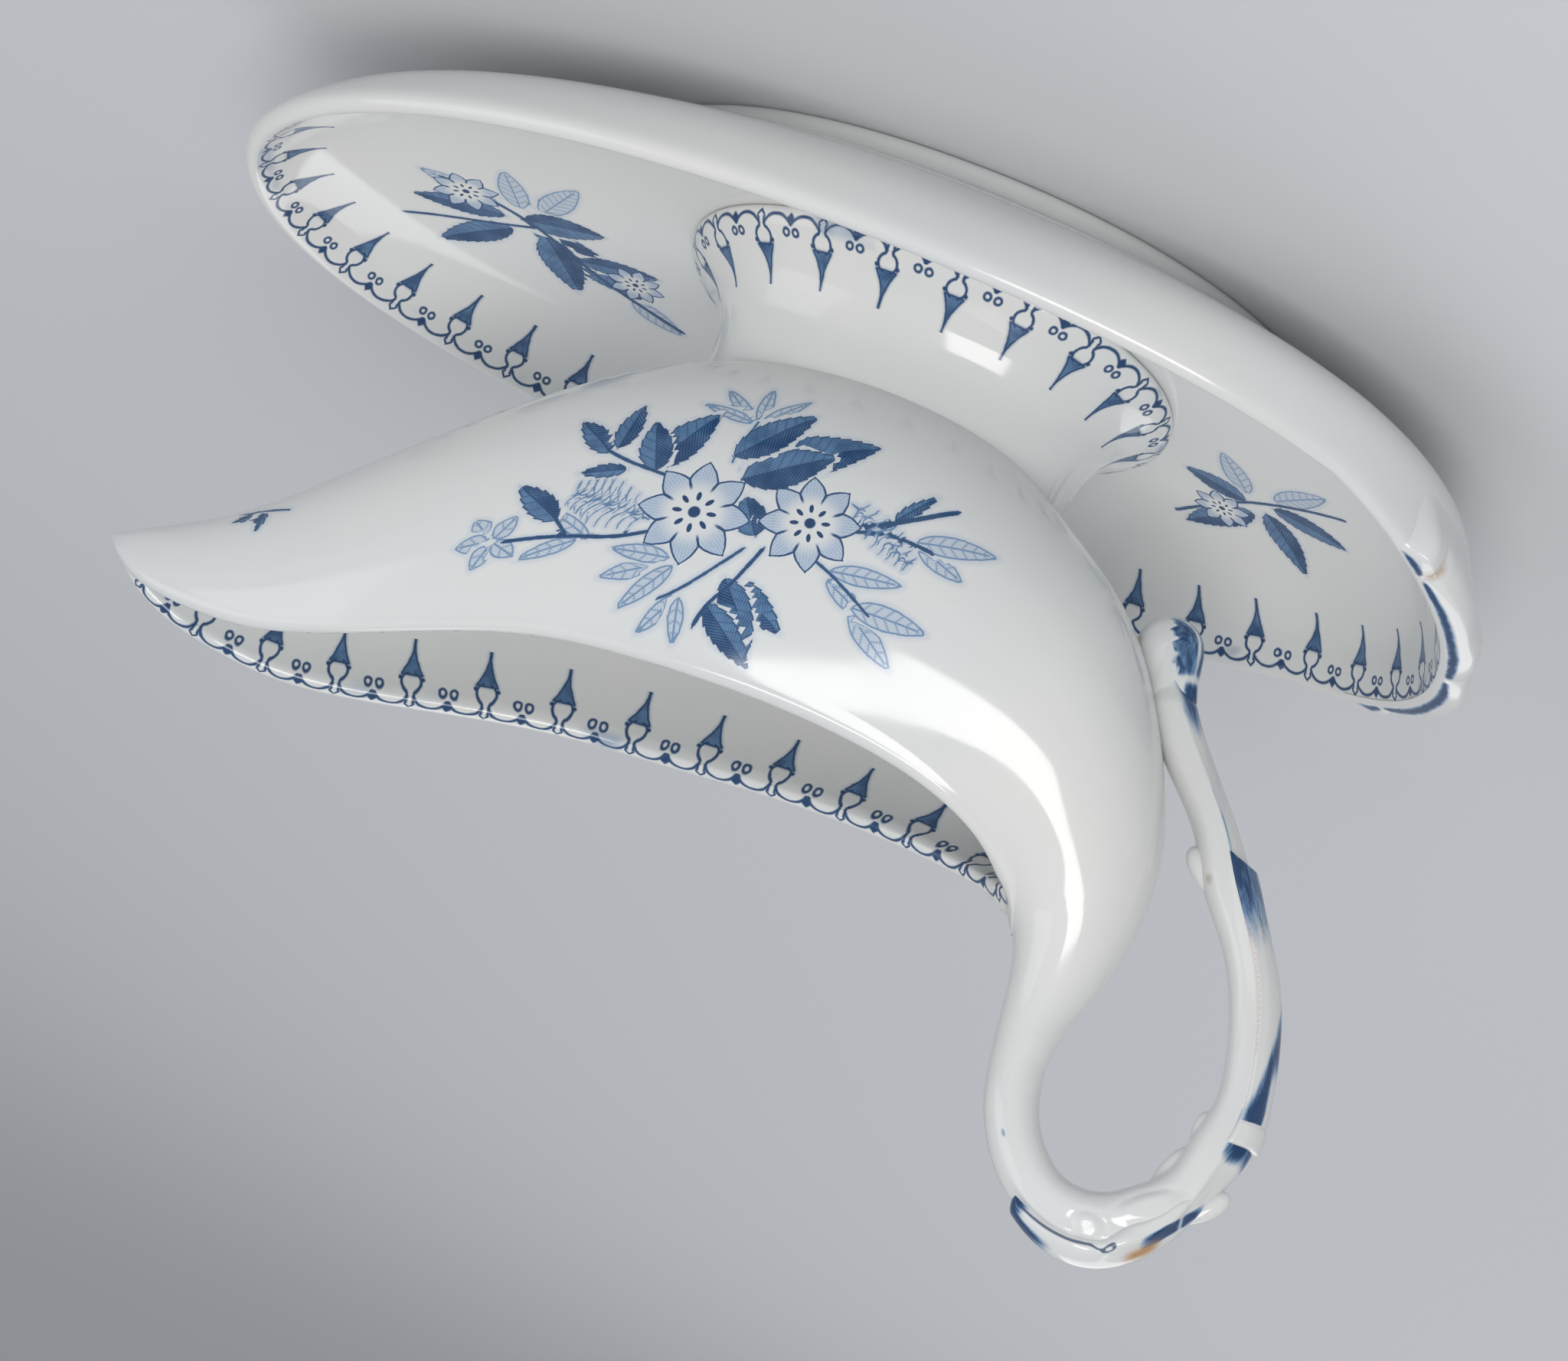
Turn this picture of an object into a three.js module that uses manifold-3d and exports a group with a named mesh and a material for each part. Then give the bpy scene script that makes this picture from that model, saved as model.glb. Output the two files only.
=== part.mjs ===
// Earthenware sauceboat fixed on its own oval stand: a footed boat with a beak spout, a tall
// loop handle that grows out of the back of the boat, and a dish with a scalloped end.
// Millimetres, +Z up, spout towards +X. The foot ring stands on z = 0.

import * as THREE from 'three';
import { mergeVertices } from 'three/addons/utils/BufferGeometryUtils.js';
import Module from 'manifold-3d';

// Driving dimensions, in millimetres.
const dishLength = 231.6;
const dishWidth = 138;
const dishLipHeight = 27.6;
const dishEndLift = 1.2;
const handleEndLift = 7.0;
const dishFloorHeight = 9.7;
const dishUnderHeight = 5.2;
const footRingLength = 134;
const footRingWidth = 102.6;
const footRingThick = 5.6;
const footRingCentre = -12;
const pedestalCentre = -9.5;
const pedestalBaseLength = 90;
const pedestalBaseWidth = 71;
const pedestalWall = 4.5;
const boatWall = 4.2;
const boatFloor = 5.2;
const lipRadius = 1.7;
const seatGap = 0.3;
const lugBulge = 3.5;
const lugDrop = 17;
const lugHalfWidth = 38;
const lugNotch = 24;
const scrollX = -69.5;
const scrollZ = 48.7;
const scrollRadius = 5.8;
const scrollWidth = 11.6;
const leafThick = 1.5;

// Boat stations from the spout tip back to the neck of the handle. Each one is a section in the
// plane through its top point and its keel point:
// top x, top z, keel x, keel z, half width at the rim, half width at the belly, belly height share.
const boatStations = [
  [106.4, 100.6, 106.2, 99.2, 0.7, 0.8, 0.6],
  [103.4, 103.6, 101.6, 96.8, 4.0, 4.2, 0.66],
  [96.0, 107.3, 93.0, 92.0, 7.6, 8.2, 0.7],
  [85.0, 109.1, 83.0, 85.0, 10.9, 12.2, 0.68],
  [72.0, 108.9, 71.0, 73.4, 14.4, 17.0, 0.65],
  [57.0, 105.2, 57.0, 59.8, 18.5, 22.6, 0.62],
  [41.0, 99.9, 41.0, 45.6, 22.9, 28.0, 0.6],
  [24.0, 95.4, 24.0, 34.4, 26.8, 32.4, 0.58],
  [6.0, 93.1, 6.0, 27.4, 27.8, 34.8, 0.57],
  [-12.0, 91.7, -12.0, 25.2, 26.4, 35.2, 0.56],
  [-28.0, 91.6, -31.0, 29.0, 24.0, 34.2, 0.55],
  [-40.0, 92.6, -47.9, 38.1, 21.0, 31.6, 0.55],
  [-49.0, 94.4, -62.9, 49.0, 16.6, 28.0, 0.54],
  [-55.5, 96.9, -74.4, 65.1, 10.4, 23.0, 0.53],
  [-60.5, 100.6, -81.2, 80.4, 4.0, 17.2, 0.52],
  [-64.0, 105.3, -83.2, 94.5, 0.0, 12.0, 0.5],
  [-66.2, 111.5, -81.6, 107.6, 0.0, 8.4, 0.5],
  [-67.4, 118.5, -78.8, 117.0, 0.0, 6.4, 0.5],
  [-68.6, 126.0, -78.0, 125.0, 0.0, 5.6, 0.5],
];
const closedFrom = 15;

// Handle stations from the neck join, over the top of the loop and down to the scroll:
// outer edge x, outer edge z, inner edge x, inner edge z, half width.
const handleStations = [
  [-68.6, 126.3, -78.0, 125.3, 5.6],
  [-70.2, 132.6, -79.3, 130.6, 5.6],
  [-73.6, 139.4, -82.0, 135.6, 5.7],
  [-79.2, 145.6, -86.0, 139.4, 5.8],
  [-86.8, 149.6, -90.0, 140.7, 6.0],
  [-94.8, 150.3, -94.4, 139.9, 6.1],
  [-101.8, 147.2, -98.4, 137.0, 6.0],
  [-107.4, 141.2, -102.5, 132.4, 5.9],
  [-111.6, 133.2, -104.0, 125.4, 5.8],
  [-114.2, 124.2, -105.2, 119.2, 5.6],
  [-113.1, 114.2, -104.6, 113.0, 5.5],
  [-110.9, 105.6, -102.6, 105.8, 5.4],
  [-107.4, 96.8, -99.6, 98.6, 5.3],
  [-102.4, 88.8, -95.2, 91.8, 5.2],
  [-97.0, 80.8, -89.6, 84.8, 5.1],
  [-91.8, 73.8, -85.0, 77.0, 4.8],
  [-85.4, 66.2, -78.6, 69.4, 4.6],
  [-79.8, 59.4, -72.7, 62.3, 4.6],
  [-75.6, 52.8, -68.4, 55.3, 4.6],
];

// Dish profile from the pedestal opening, out under the foot, up the wall, over the lip and back:
// centre x, reach to the spout end, reach to the handle end, half width, height, share of the end
// lift, and the power of the oval's handle half (2 is an ellipse, more is squarer).
const dishProfile = [
  [pedestalCentre, 37.6, 37.6, 28.6, dishUnderHeight, 0, 2.1],
  [-10.5, 52, 52, 39.5, dishUnderHeight, 0, 2.1],
  [-11.5, 68, 68, 52.4, dishUnderHeight + 0.2, 0, 2.1],
  [-9.5, 84.5, 83, 58.2, 8.0, 0, 2.35],
  [-8.0, 105, 98, 63.2, 12.2, 0.1, 2.45],
  [-5.0, 113, 107, 66.6, 17.0, 0.3, 2.4],
  [-2.0, 115.8, 112.6, 68.4, 22.0, 0.6, 2.3],
  [0, dishLength / 2, dishLength / 2, dishWidth / 2, 25.4, 0.9, 2.25],
  [0, dishLength / 2 - 0.5, dishLength / 2 - 0.5, dishWidth / 2 - 0.5, dishLipHeight - 0.7, 1, 2.25],
  [0, dishLength / 2 - 2, dishLength / 2 - 2, dishWidth / 2 - 2, dishLipHeight, 1, 2.25],
  [0, dishLength / 2 - 3.4, dishLength / 2 - 3.4, dishWidth / 2 - 3.4, dishLipHeight - 0.8, 1, 2.25],
  [-0.5, 110.3, 109.6, 64.2, 24.0, 0.7, 2.25],
  [-2.0, 106.5, 104.6, 61.2, 19.8, 0.4, 2.3],
  [-4.5, 98, 93.6, 57.2, 15.8, 0.15, 2.3],
  [-7.0, 82, 78, 51.5, 12.4, 0, 2.3],
  [-8.5, 62, 60, 43, 10.3, 0, 2.2],
  [pedestalCentre, 47, 47, 37, dishFloorHeight, 0, 2.1],
  [pedestalCentre, 37.6, 37.6, 28.6, dishFloorHeight, 0, 2.1],
];

// Pedestal profile: spread of the flare outside its narrowest oval, and height above the dish floor.
const pedestalNeckLength = 67.4;
const pedestalNeckWidth = 48;
const pedestalFlare = [
  [1.0, 0.3],
  [1.03, 1.1],
  [0.98, 2.6],
  [0.8, 4.6],
  [0.5, 7.0],
  [0.25, 9.6],
  [0.08, 12.6],
  [0.0, 16.4],
  [0.0, 20.6],
  [0.0, 25.0],
  [0.0, 29.0],
];

const glazeWhite = new THREE.Color(0.86, 0.875, 0.885);
const wornWhite = new THREE.Color(0.83, 0.84, 0.84);
const cobaltWash = new THREE.Color(0.42, 0.52, 0.68);

function material(colour) {
  return new THREE.MeshStandardMaterial({ color: colour, roughness: 0.16, metalness: 0 });
}

const wasm = await Module();
wasm.setup();

// Turns a three.js geometry into a manifold solid, using its positions only.
function toSolid(geometry) {
  let plain = geometry.clone();
  plain.deleteAttribute('normal');
  plain.deleteAttribute('uv');
  plain = mergeVertices(plain, 1e-4);
  return new wasm.Manifold(new wasm.Mesh({
    numProp: 3,
    vertProperties: new Float32Array(plain.attributes.position.array),
    triVerts: new Uint32Array(plain.index.array),
  }));
}

function toGeometry(solid) {
  const mesh = solid.getMesh();
  const geometry = new THREE.BufferGeometry();
  geometry.setAttribute('position', new THREE.BufferAttribute(new Float32Array(mesh.vertProperties), 3));
  geometry.setIndex(new THREE.BufferAttribute(new Uint32Array(mesh.triVerts), 1));
  geometry.computeVertexNormals();
  return geometry;
}

// The largest of the separate bodies that a cut leaves.
function mainBody(solid) {
  const bodies = solid.decompose();
  return bodies.reduce((best, body) => (body.volume() > best.volume() ? body : best));
}

// Six times the signed volume inside a triangle mesh.
function signedVolume(points, faces) {
  let sum = 0;
  for (let i = 0; i < faces.length; i += 3) {
    const a = points[faces[i]];
    const b = points[faces[i + 1]];
    const c = points[faces[i + 2]];
    sum += a.dot(b.clone().cross(c));
  }
  return sum;
}

// Skins a row of rings with equal point counts. A looped loft joins its last ring to its first;
// the others are closed with a fan at each end.
function loft(rings, looped = false) {
  const count = rings[0].length;
  const points = rings.flat().map((point) => point.clone());
  const faces = [];
  const spans = looped ? rings.length : rings.length - 1;
  for (let r = 0; r < spans; r += 1) {
    const next = (r + 1) % rings.length;
    for (let i = 0; i < count; i += 1) {
      const j = (i + 1) % count;
      faces.push(r * count + i, r * count + j, next * count + j);
      faces.push(r * count + i, next * count + j, next * count + i);
    }
  }
  if (!looped) {
    for (const end of [0, rings.length - 1]) {
      const middle = new THREE.Vector3();
      rings[end].forEach((point) => middle.add(point));
      points.push(middle.divideScalar(count));
      for (let i = 0; i < count; i += 1) {
        const pair = [end * count + i, end * count + ((i + 1) % count)];
        if (end === 0) pair.reverse();
        faces.push(points.length - 1, pair[0], pair[1]);
      }
    }
  }
  if (signedVolume(points, faces) < 0) {
    for (let i = 0; i < faces.length; i += 3) {
      [faces[i + 1], faces[i + 2]] = [faces[i + 2], faces[i + 1]];
    }
  }
  const geometry = new THREE.BufferGeometry().setFromPoints(points);
  geometry.setIndex(faces);
  geometry.computeVertexNormals();
  return geometry;
}

// Reads a station table as smooth curves, so that any point between two stations can be asked for.
function stationCurve(table) {
  const columns = table[0].length;
  const curves = [];
  for (let c = 0; c < columns; c += 2) {
    const rows = table.map((row) => new THREE.Vector3(row[c], row[c + 1] ?? 0, 0));
    curves.push(new THREE.CatmullRomCurve3(rows, false, 'catmullrom', 0.5));
  }
  return (place) => {
    const t = THREE.MathUtils.clamp(place / (table.length - 1), 0, 1);
    const values = curves.flatMap((curve) => {
      const point = curve.getPoint(t);
      return [point.x, point.y];
    });
    return values.slice(0, columns);
  };
}

// An oval in a level plane. The power is 2 for an ellipse and more for squarer ends.
function ovalRing(centre, halfLength, halfWidth, height, count, power = 2, lift = 0) {
  const ring = [];
  for (let i = 0; i < count; i += 1) {
    const angle = (i / count) * 2 * Math.PI;
    const c = Math.cos(angle);
    const s = Math.sin(angle);
    ring.push(new THREE.Vector3(
      centre + halfLength * Math.sign(c) * Math.abs(c) ** (2 / power),
      halfWidth * Math.sign(s) * Math.abs(s) ** (2 / power),
      height + lift * Math.cos(2 * angle),
    ));
  }
  return ring;
}

// One ring of the dish: an oval that is longer and squarer towards the handle, whose two ends lift
// a little and whose handle end sweeps up into the thumb ledge.
function dishRing([centre, spoutReach, handleReach, halfWidth, height, lift, handlePower], count, grow) {
  const ring = [];
  for (let i = 0; i < count; i += 1) {
    const angle = (i / count) * 2 * Math.PI;
    const c = Math.cos(angle);
    const s = Math.sin(angle);
    const exponent = 2 / THREE.MathUtils.lerp(2.06, handlePower, THREE.MathUtils.smoothstep(-c, 0, 0.5));
    const reach = (c < 0 ? handleReach : spoutReach) + grow;
    const x = centre + reach * Math.sign(c) * Math.abs(c) ** exponent;
    const sweep = Math.max(0, (-x / (dishLength / 2) - 0.74) / 0.26) ** 1.15;
    ring.push(new THREE.Vector3(
      x,
      (halfWidth + grow) * Math.sign(s) * Math.abs(s) ** exponent,
      height + lift * (dishEndLift * Math.cos(2 * angle) + handleEndLift * sweep),
    ));
  }
  return ring;
}

const boatAt = stationCurve(boatStations);
const handleAt = stationCurve(handleStations);

// Half width of a boat section at a share q of its height: a full rounded keel, the belly, then a
// slight lean inwards to the rim. Behind the mouth the top closes over into the round neck.
function boatHalfWidth(q, rim, belly, bellyAt, closing) {
  if (q < bellyAt) {
    const keelPower = THREE.MathUtils.lerp(2.35, 2, closing);
    return belly * (1 - (1 - q / bellyAt) ** keelPower) ** (1 / keelPower);
  }
  const rise = Math.min(1, (q - bellyAt) / (1 - bellyAt));
  const roundness = THREE.MathUtils.lerp(1, 0.5, closing);
  return rim + (belly - rim) * (1 - rise ** 2) ** roundness;
}

// One boat section as a closed ring: up one side, over the rounded lip, across the mouth and down
// the other side. grow moves the whole outside outwards.
function boatSection(place, grow) {
  const [topX, topZ, keelX, keelZ, rimRaw, belly, bellyAt] = boatAt(place);
  const rim = Math.max(0, rimRaw);
  const closing = THREE.MathUtils.smoothstep(place, closedFrom - 4, closedFrom);
  const top = new THREE.Vector3(topX, 0, topZ);
  const keel = new THREE.Vector3(keelX, 0, keelZ);
  const up = top.clone().sub(keel);
  const depth = up.length();
  up.normalize();
  const round = Math.min(lipRadius, depth * 0.2, rim * 0.45);
  const side = [];
  const sidePoints = 11;
  for (let i = 0; i <= sidePoints; i += 1) {
    const share = (1 - Math.cos((Math.PI * i) / sidePoints)) / 2;
    const level = share * (depth - round);
    side.push([level, boatHalfWidth(level / depth, rim, belly, bellyAt, closing)]);
  }
  const shoulder = side[sidePoints][1];
  for (const bend of [30, 60, 90]) {
    const angle = THREE.MathUtils.degToRad(bend);
    side.push([
      depth - round + round * Math.sin(angle),
      Math.max(shoulder - round * (1 - Math.cos(angle)), 0),
    ]);
  }
  const ring = [];
  const place3 = (level, half) => {
    const spread = 1 + grow / Math.max(half, 4);
    const outward = level - depth * 0.5;
    const stretch = 1 + (2 * grow) / depth;
    return keel.clone()
      .addScaledVector(up, depth * 0.5 + outward * stretch)
      .setY(half * spread);
  };
  side.forEach(([level, half]) => ring.push(place3(level, half)));
  ring.push(place3(depth, 0));
  for (let i = side.length - 1; i > 0; i -= 1) {
    ring.push(place3(side[i][0], -side[i][1]));
  }
  return ring;
}

function boatOutside(grow = 0) {
  const rings = [];
  const steps = 42;
  const last = boatStations.length - 1;
  for (let i = 0; i <= steps; i += 1) {
    rings.push(boatSection((i / steps) * last, grow));
  }
  return toSolid(loft(rings));
}

// The inside of the boat and the channel of the spout. It stands above the rim, so that cutting it
// away opens the mouth, and widens just under the rim for the rounded inner edge of the lip.
function boatInside() {
  const rings = [];
  const steps = 28;
  const firstPlace = 1.1;
  const lastPlace = 13.7;
  for (let i = 0; i <= steps; i += 1) {
    const place = THREE.MathUtils.lerp(firstPlace, lastPlace, i / steps);
    const [topX, topZ, keelX, keelZ, rim, belly, bellyAt] = boatAt(place);
    const up = new THREE.Vector3(topX - keelX, 0, topZ - keelZ);
    const depth = up.length();
    up.normalize();
    const keel = new THREE.Vector3(keelX, 0, keelZ);
    const fade = Math.sqrt(Math.max(0, 1 - Math.max(0, (place - 12.4) / 1.3) ** 2));
    const thin = Math.min(1, 0.6 + (place - firstPlace) * 0.2);
    const wall = boatWall * thin;
    const floor = Math.min(boatFloor * thin, depth * 0.45);
    const halfRim = Math.max(rim - wall, 0.5) * Math.max(fade, 0.05);
    const halfBelly = Math.max(belly - wall, 0.6) * Math.max(fade, 0.05);
    const bellyLevel = bellyAt * depth;
    const levels = [];
    for (let k = 0; k <= 9; k += 1) {
      const share = (1 - Math.cos((Math.PI * k) / 9)) / 2;
      const level = floor + share * (depth - lipRadius - floor);
      let half;
      if (level < bellyLevel) {
        const rise = (level - floor) / (bellyLevel - floor);
        half = halfBelly * (1 - (1 - rise) ** 2.3) ** (1 / 2.3);
      } else {
        const rise = (level - bellyLevel) / (depth - bellyLevel);
        half = halfRim + (halfBelly - halfRim) * (1 - rise ** 2);
      }
      levels.push([level, half]);
    }
    const edge = levels[9][1];
    for (const bend of [35, 70, 90]) {
      const angle = THREE.MathUtils.degToRad(bend);
      const widen = Math.min(lipRadius, halfRim * 0.6) * (1 - Math.cos(angle));
      levels.push([depth - lipRadius + lipRadius * Math.sin(angle), edge + widen]);
    }
    levels.push([depth + 4, levels[12][1]]);
    const ring = [];
    levels.forEach(([level, half]) => ring.push(keel.clone().addScaledVector(up, level).setY(half)));
    ring.push(keel.clone().addScaledVector(up, depth + 4));
    for (let k = levels.length - 1; k > 0; k -= 1) {
      ring.push(keel.clone().addScaledVector(up, levels[k][0]).setY(-levels[k][1]));
    }
    rings.push(ring);
  }
  return toSolid(loft(rings));
}

// Frame of the handle at a station place: centre, direction to the outer edge and half sizes.
function handleFrame(place) {
  const [outX, outZ, inX, inZ, halfWidth] = handleAt(place);
  const outer = new THREE.Vector3(outX, 0, outZ);
  const inner = new THREE.Vector3(inX, 0, inZ);
  return {
    centre: outer.clone().add(inner).multiplyScalar(0.5),
    outward: outer.clone().sub(inner).normalize(),
    halfThick: outer.distanceTo(inner) / 2,
    halfWidth,
  };
}

function handlePoint(frame, angle, grow) {
  const c = Math.cos(angle);
  const s = Math.sin(angle);
  const power = 2 / 2.15;
  return frame.centre.clone()
    .addScaledVector(frame.outward, (frame.halfThick + grow) * Math.sign(c) * Math.abs(c) ** power)
    .setY((frame.halfWidth + grow) * Math.sign(s) * Math.abs(s) ** power);
}

function handleBar(grow = 0) {
  const rings = [];
  const last = handleStations.length - 1;
  const steps = 44;
  for (let i = 0; i <= steps; i += 1) {
    const frame = handleFrame((i / steps) * last);
    const ring = [];
    for (let k = 0; k < 18; k += 1) {
      ring.push(handlePoint(frame, (k / 18) * 2 * Math.PI, grow));
    }
    rings.push(ring);
  }
  return toSolid(loft(rings));
}

// A raised leaf that wraps the outer face of the handle between two places. halfAngle and thick
// are functions of the share of the leaf's length.
function wrappedLeaf(from, to, steps, halfAngle, thick) {
  const rings = [];
  const across = 8;
  for (let i = 0; i <= steps; i += 1) {
    const share = i / steps;
    const frame = handleFrame(THREE.MathUtils.lerp(from, to, share));
    const spread = THREE.MathUtils.degToRad(halfAngle(share));
    const ring = [];
    for (let k = 0; k <= across; k += 1) {
      const angle = THREE.MathUtils.lerp(-spread, spread, k / across);
      const crown = Math.cos((Math.PI / 2) * (2 * (k / across) - 1));
      const rib = 1 + 0.35 * Math.exp(-(((k / across - 0.5) / 0.09) ** 2));
      ring.push(handlePoint(frame, angle, seatGap + 0.35 + thick(share) * crown ** 0.6 * rib));
    }
    for (let k = across; k >= 0; k -= 1) {
      const angle = THREE.MathUtils.lerp(-spread, spread, k / across);
      ring.push(handlePoint(frame, angle, seatGap));
    }
    rings.push(ring);
  }
  return toSolid(loft(rings));
}

// A teardrop bud seated on the handle: a stretched sphere at a station place, turned in the plane
// of the handle. side is 1 on the outer face and -1 on the inner face; proud is how far its middle
// stands off that face.
function bud(place, side, proud, length, width, tilt) {
  const frame = handleFrame(place);
  const seat = frame.centre.clone().addScaledVector(frame.outward, side * (frame.halfThick + proud));
  const geometry = new THREE.SphereGeometry(1, 14, 10);
  geometry.scale(length / 2, width / 2, width / 2);
  geometry.rotateY(THREE.MathUtils.degToRad(tilt));
  geometry.translate(seat.x, 0, seat.z);
  return toSolid(geometry);
}

function pedestalRings(inset, from, count) {
  const flareLength = (pedestalBaseLength - pedestalNeckLength) / 2;
  const flareWidth = (pedestalBaseWidth - pedestalNeckWidth) / 2;
  const curve = stationCurve(pedestalFlare);
  const rings = [];
  const steps = 11;
  for (let i = 0; i <= steps; i += 1) {
    const [spread, rise] = curve((i / steps) * (pedestalFlare.length - 1));
    rings.push(ovalRing(
      pedestalCentre,
      pedestalNeckLength / 2 + spread * flareLength - inset,
      pedestalNeckWidth / 2 + spread * flareWidth - inset,
      Math.max(dishFloorHeight + rise, from),
      count,
      2.2,
    ));
  }
  return rings;
}

// The roll at the foot of the handle: a disc across the plane of symmetry with rounded rims.
function scrollSolid(grow = 0) {
  const bevel = 1.6;
  const disc = new THREE.Shape();
  disc.absarc(0, 0, scrollRadius - bevel + grow, 0, 2 * Math.PI, false);
  const geometry = new THREE.ExtrudeGeometry(disc, {
    depth: scrollWidth - 2 * bevel + 2 * grow,
    bevelEnabled: true,
    bevelThickness: bevel,
    bevelSize: bevel,
    bevelSegments: 2,
    curveSegments: 20,
  });
  geometry.translate(0, 0, -(scrollWidth - 2 * bevel + 2 * grow) / 2);
  geometry.rotateX(Math.PI / 2);
  geometry.translate(scrollX, 0, scrollZ);
  return toSolid(geometry);
}

// A shallow spiral bead raised on both cheeks of the roll.
function spiralBead(side) {
  const turns = 1.4;
  const path = new THREE.CatmullRomCurve3(Array.from({ length: 14 }, (_, i) => {
    const share = i / 13;
    const angle = 0.7 + share * turns * 2 * Math.PI;
    const radius = 3.7 - 2.6 * share;
    return new THREE.Vector3(
      scrollX + radius * Math.cos(angle),
      side * (scrollWidth / 2 - 0.15),
      scrollZ + radius * Math.sin(angle),
    );
  }));
  const section = new THREE.Shape();
  section.absellipse(0, 0, 0.6, 0.6, 0, 2 * Math.PI, false);
  return toSolid(new THREE.ExtrudeGeometry(section, {
    steps: 22,
    curveSegments: 3,
    bevelEnabled: false,
    extrudePath: path,
  }));
}

function dishSolid(count) {
  return toSolid(loft(dishProfile.map((row) => dishRing(row, count, 0)), true));
}

// The dish filled in, a little larger all round, used to seat the ledge against its wall.
function dishCore(grow) {
  const rings = dishProfile.slice(0, 9).map((row) => dishRing(row, 60, grow));
  const rim = dishProfile[8];
  rings.push(dishRing([rim[0], rim[1], rim[2], rim[3], 60, 0, rim[6]], 60, grow));
  return toSolid(loft(rings));
}

// The scalloped thumb ledge on the handle end of the dish: two wide lobes either side of a notch on
// the axis and a narrow one outside each. They stand out from the wall just under the swept-up lip
// and die away down the wall.
function lugSolid() {
  const lobeEdges = [-lugHalfWidth, -lugNotch, 0, lugNotch, lugHalfWidth];
  const lip = dishProfile[7];
  const section = [
    [-1.0, -1.0],
    [0.0, -0.97],
    [0.4, -0.8],
    [0.8, -0.5],
    [1.0, -0.26],
    [0.92, -0.1],
    [0.55, -0.01],
    [-1.0, 0.0],
  ];
  const rings = [];
  const steps = 48;
  for (let i = 0; i <= steps; i += 1) {
    const y = THREE.MathUtils.lerp(-lugHalfWidth, lugHalfWidth, i / steps);
    const index = Math.max(0, Math.min(3, lobeEdges.findIndex((edge) => y < edge) - 1));
    const inLobe = (y - lobeEdges[index]) / (lobeEdges[index + 1] - lobeEdges[index]);
    const fade = Math.sqrt(Math.max(0, 1 - (y / (lugHalfWidth + 1)) ** 2));
    const bulge = 0.8 + lugBulge * fade * Math.abs(Math.sin(Math.PI * inLobe)) ** 0.6;
    const drop = lugDrop * (0.3 + 0.7 * fade);
    const x = -lip[2] * (1 - Math.abs(y / lip[3]) ** lip[6]) ** (1 / lip[6]);
    const sweep = Math.max(0, (-x / (dishLength / 2) - 0.74) / 0.26) ** 1.15;
    const top = lip[4] + 0.9 + handleEndLift * sweep;
    const outward = new THREE.Vector3(x / lip[2] ** 2, y / lip[3] ** 2, 0).normalize();
    rings.push(section.map(([out, level]) => {
      const reach = (out < 0 ? -7 : out * bulge) + 2.6 * level;
      return new THREE.Vector3(x, y, top + level * drop).addScaledVector(outward, reach);
    }));
  }
  return toSolid(loft(rings));
}

const boatShell = boatOutside().subtract(boatInside());
const boatGrown = boatOutside(seatGap);

const pedestal = toSolid(loft(pedestalRings(0, 0, 40)))
  .subtract(toSolid(loft(pedestalRings(pedestalWall, 0, 40).map((ring, i) => (
    i === 0 ? ring.map((point) => point.clone().setZ(point.z - 4)) : ring
  )))))
  .subtract(boatGrown);

const dish = dishSolid(72);

const footRing = toSolid(loft([
  [0, 0, 1.0],
  [0, 0.2, 0.3],
  [0, 1.2, 0],
  [1, 1.2, 0],
  [1, 0.2, 0.3],
  [1, 0, 1.0],
  [1, -0.6, dishUnderHeight - seatGap],
  [0, -0.6, dishUnderHeight - seatGap],
].map(([inside, trim, height]) => {
  const inset = inside ? footRingThick - trim : trim;
  return ovalRing(footRingCentre, footRingLength / 2 - inset, footRingWidth / 2 - inset, height, 60, 2.1);
}), true));

const lug = mainBody(lugSolid().subtract(dishCore(seatGap)));

const scrollCut = scrollSolid(seatGap);
const scroll = scrollSolid()
  .add(spiralBead(1))
  .add(spiralBead(-1))
  .subtract(boatGrown);
const handle = handleBar().subtract(boatGrown).subtract(scrollCut);
const handleGrown = handleBar(seatGap);

const crownLeaf = wrappedLeaf(
  3.0,
  7.8,
  24,
  (share) => 18 + 44 * Math.sin(Math.PI * Math.min(1, share * 1.25 + 0.02)) ** 0.7
    * (0.9 + 0.1 * Math.abs(Math.cos(3 * Math.PI * share))) * (1 - 0.2 * share),
  (share) => leafThick * (0.35 + 0.65 * Math.sin(Math.PI * Math.min(1, share + 0.12))),
);
const backLeaf = wrappedLeaf(
  9.2,
  14.1,
  24,
  (share) => 52 + 14 * share,
  (share) => 0.2 + 0.55 * share,
);
const leafGrown = wrappedLeaf(
  3.0,
  7.8,
  24,
  () => 84,
  () => leafThick + seatGap + 0.3,
);

const pieces = {
  boat_bowl: [boatShell, glazeWhite],
  pedestal_foot: [pedestal, glazeWhite],
  stand_dish: [dish, glazeWhite],
  stand_foot_ring: [footRing, wornWhite],
  stand_lug: [lug, glazeWhite],
  handle_loop: [handle, glazeWhite],
  handle_scroll: [scroll, cobaltWash],
  handle_crown_leaf: [crownLeaf, glazeWhite],
  handle_back_leaf: [backLeaf, cobaltWash],
  handle_leaf_tip: [
    mainBody(bud(7.7, 1, 1.3, 6.6, 4.8, -62).subtract(handleGrown).subtract(leafGrown)),
    glazeWhite,
  ],
  handle_bud_low: [mainBody(bud(14.25, -1, -0.3, 7.0, 4.4, 50).subtract(handleGrown)), glazeWhite],
  handle_bud_rear: [mainBody(bud(8.25, -1, -0.4, 6.4, 4.2, 90).subtract(handleGrown)), glazeWhite],
  handle_bud_top: [mainBody(bud(7.0, -1, -0.2, 9.0, 4.4, -61).subtract(handleGrown)), glazeWhite],
};

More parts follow.
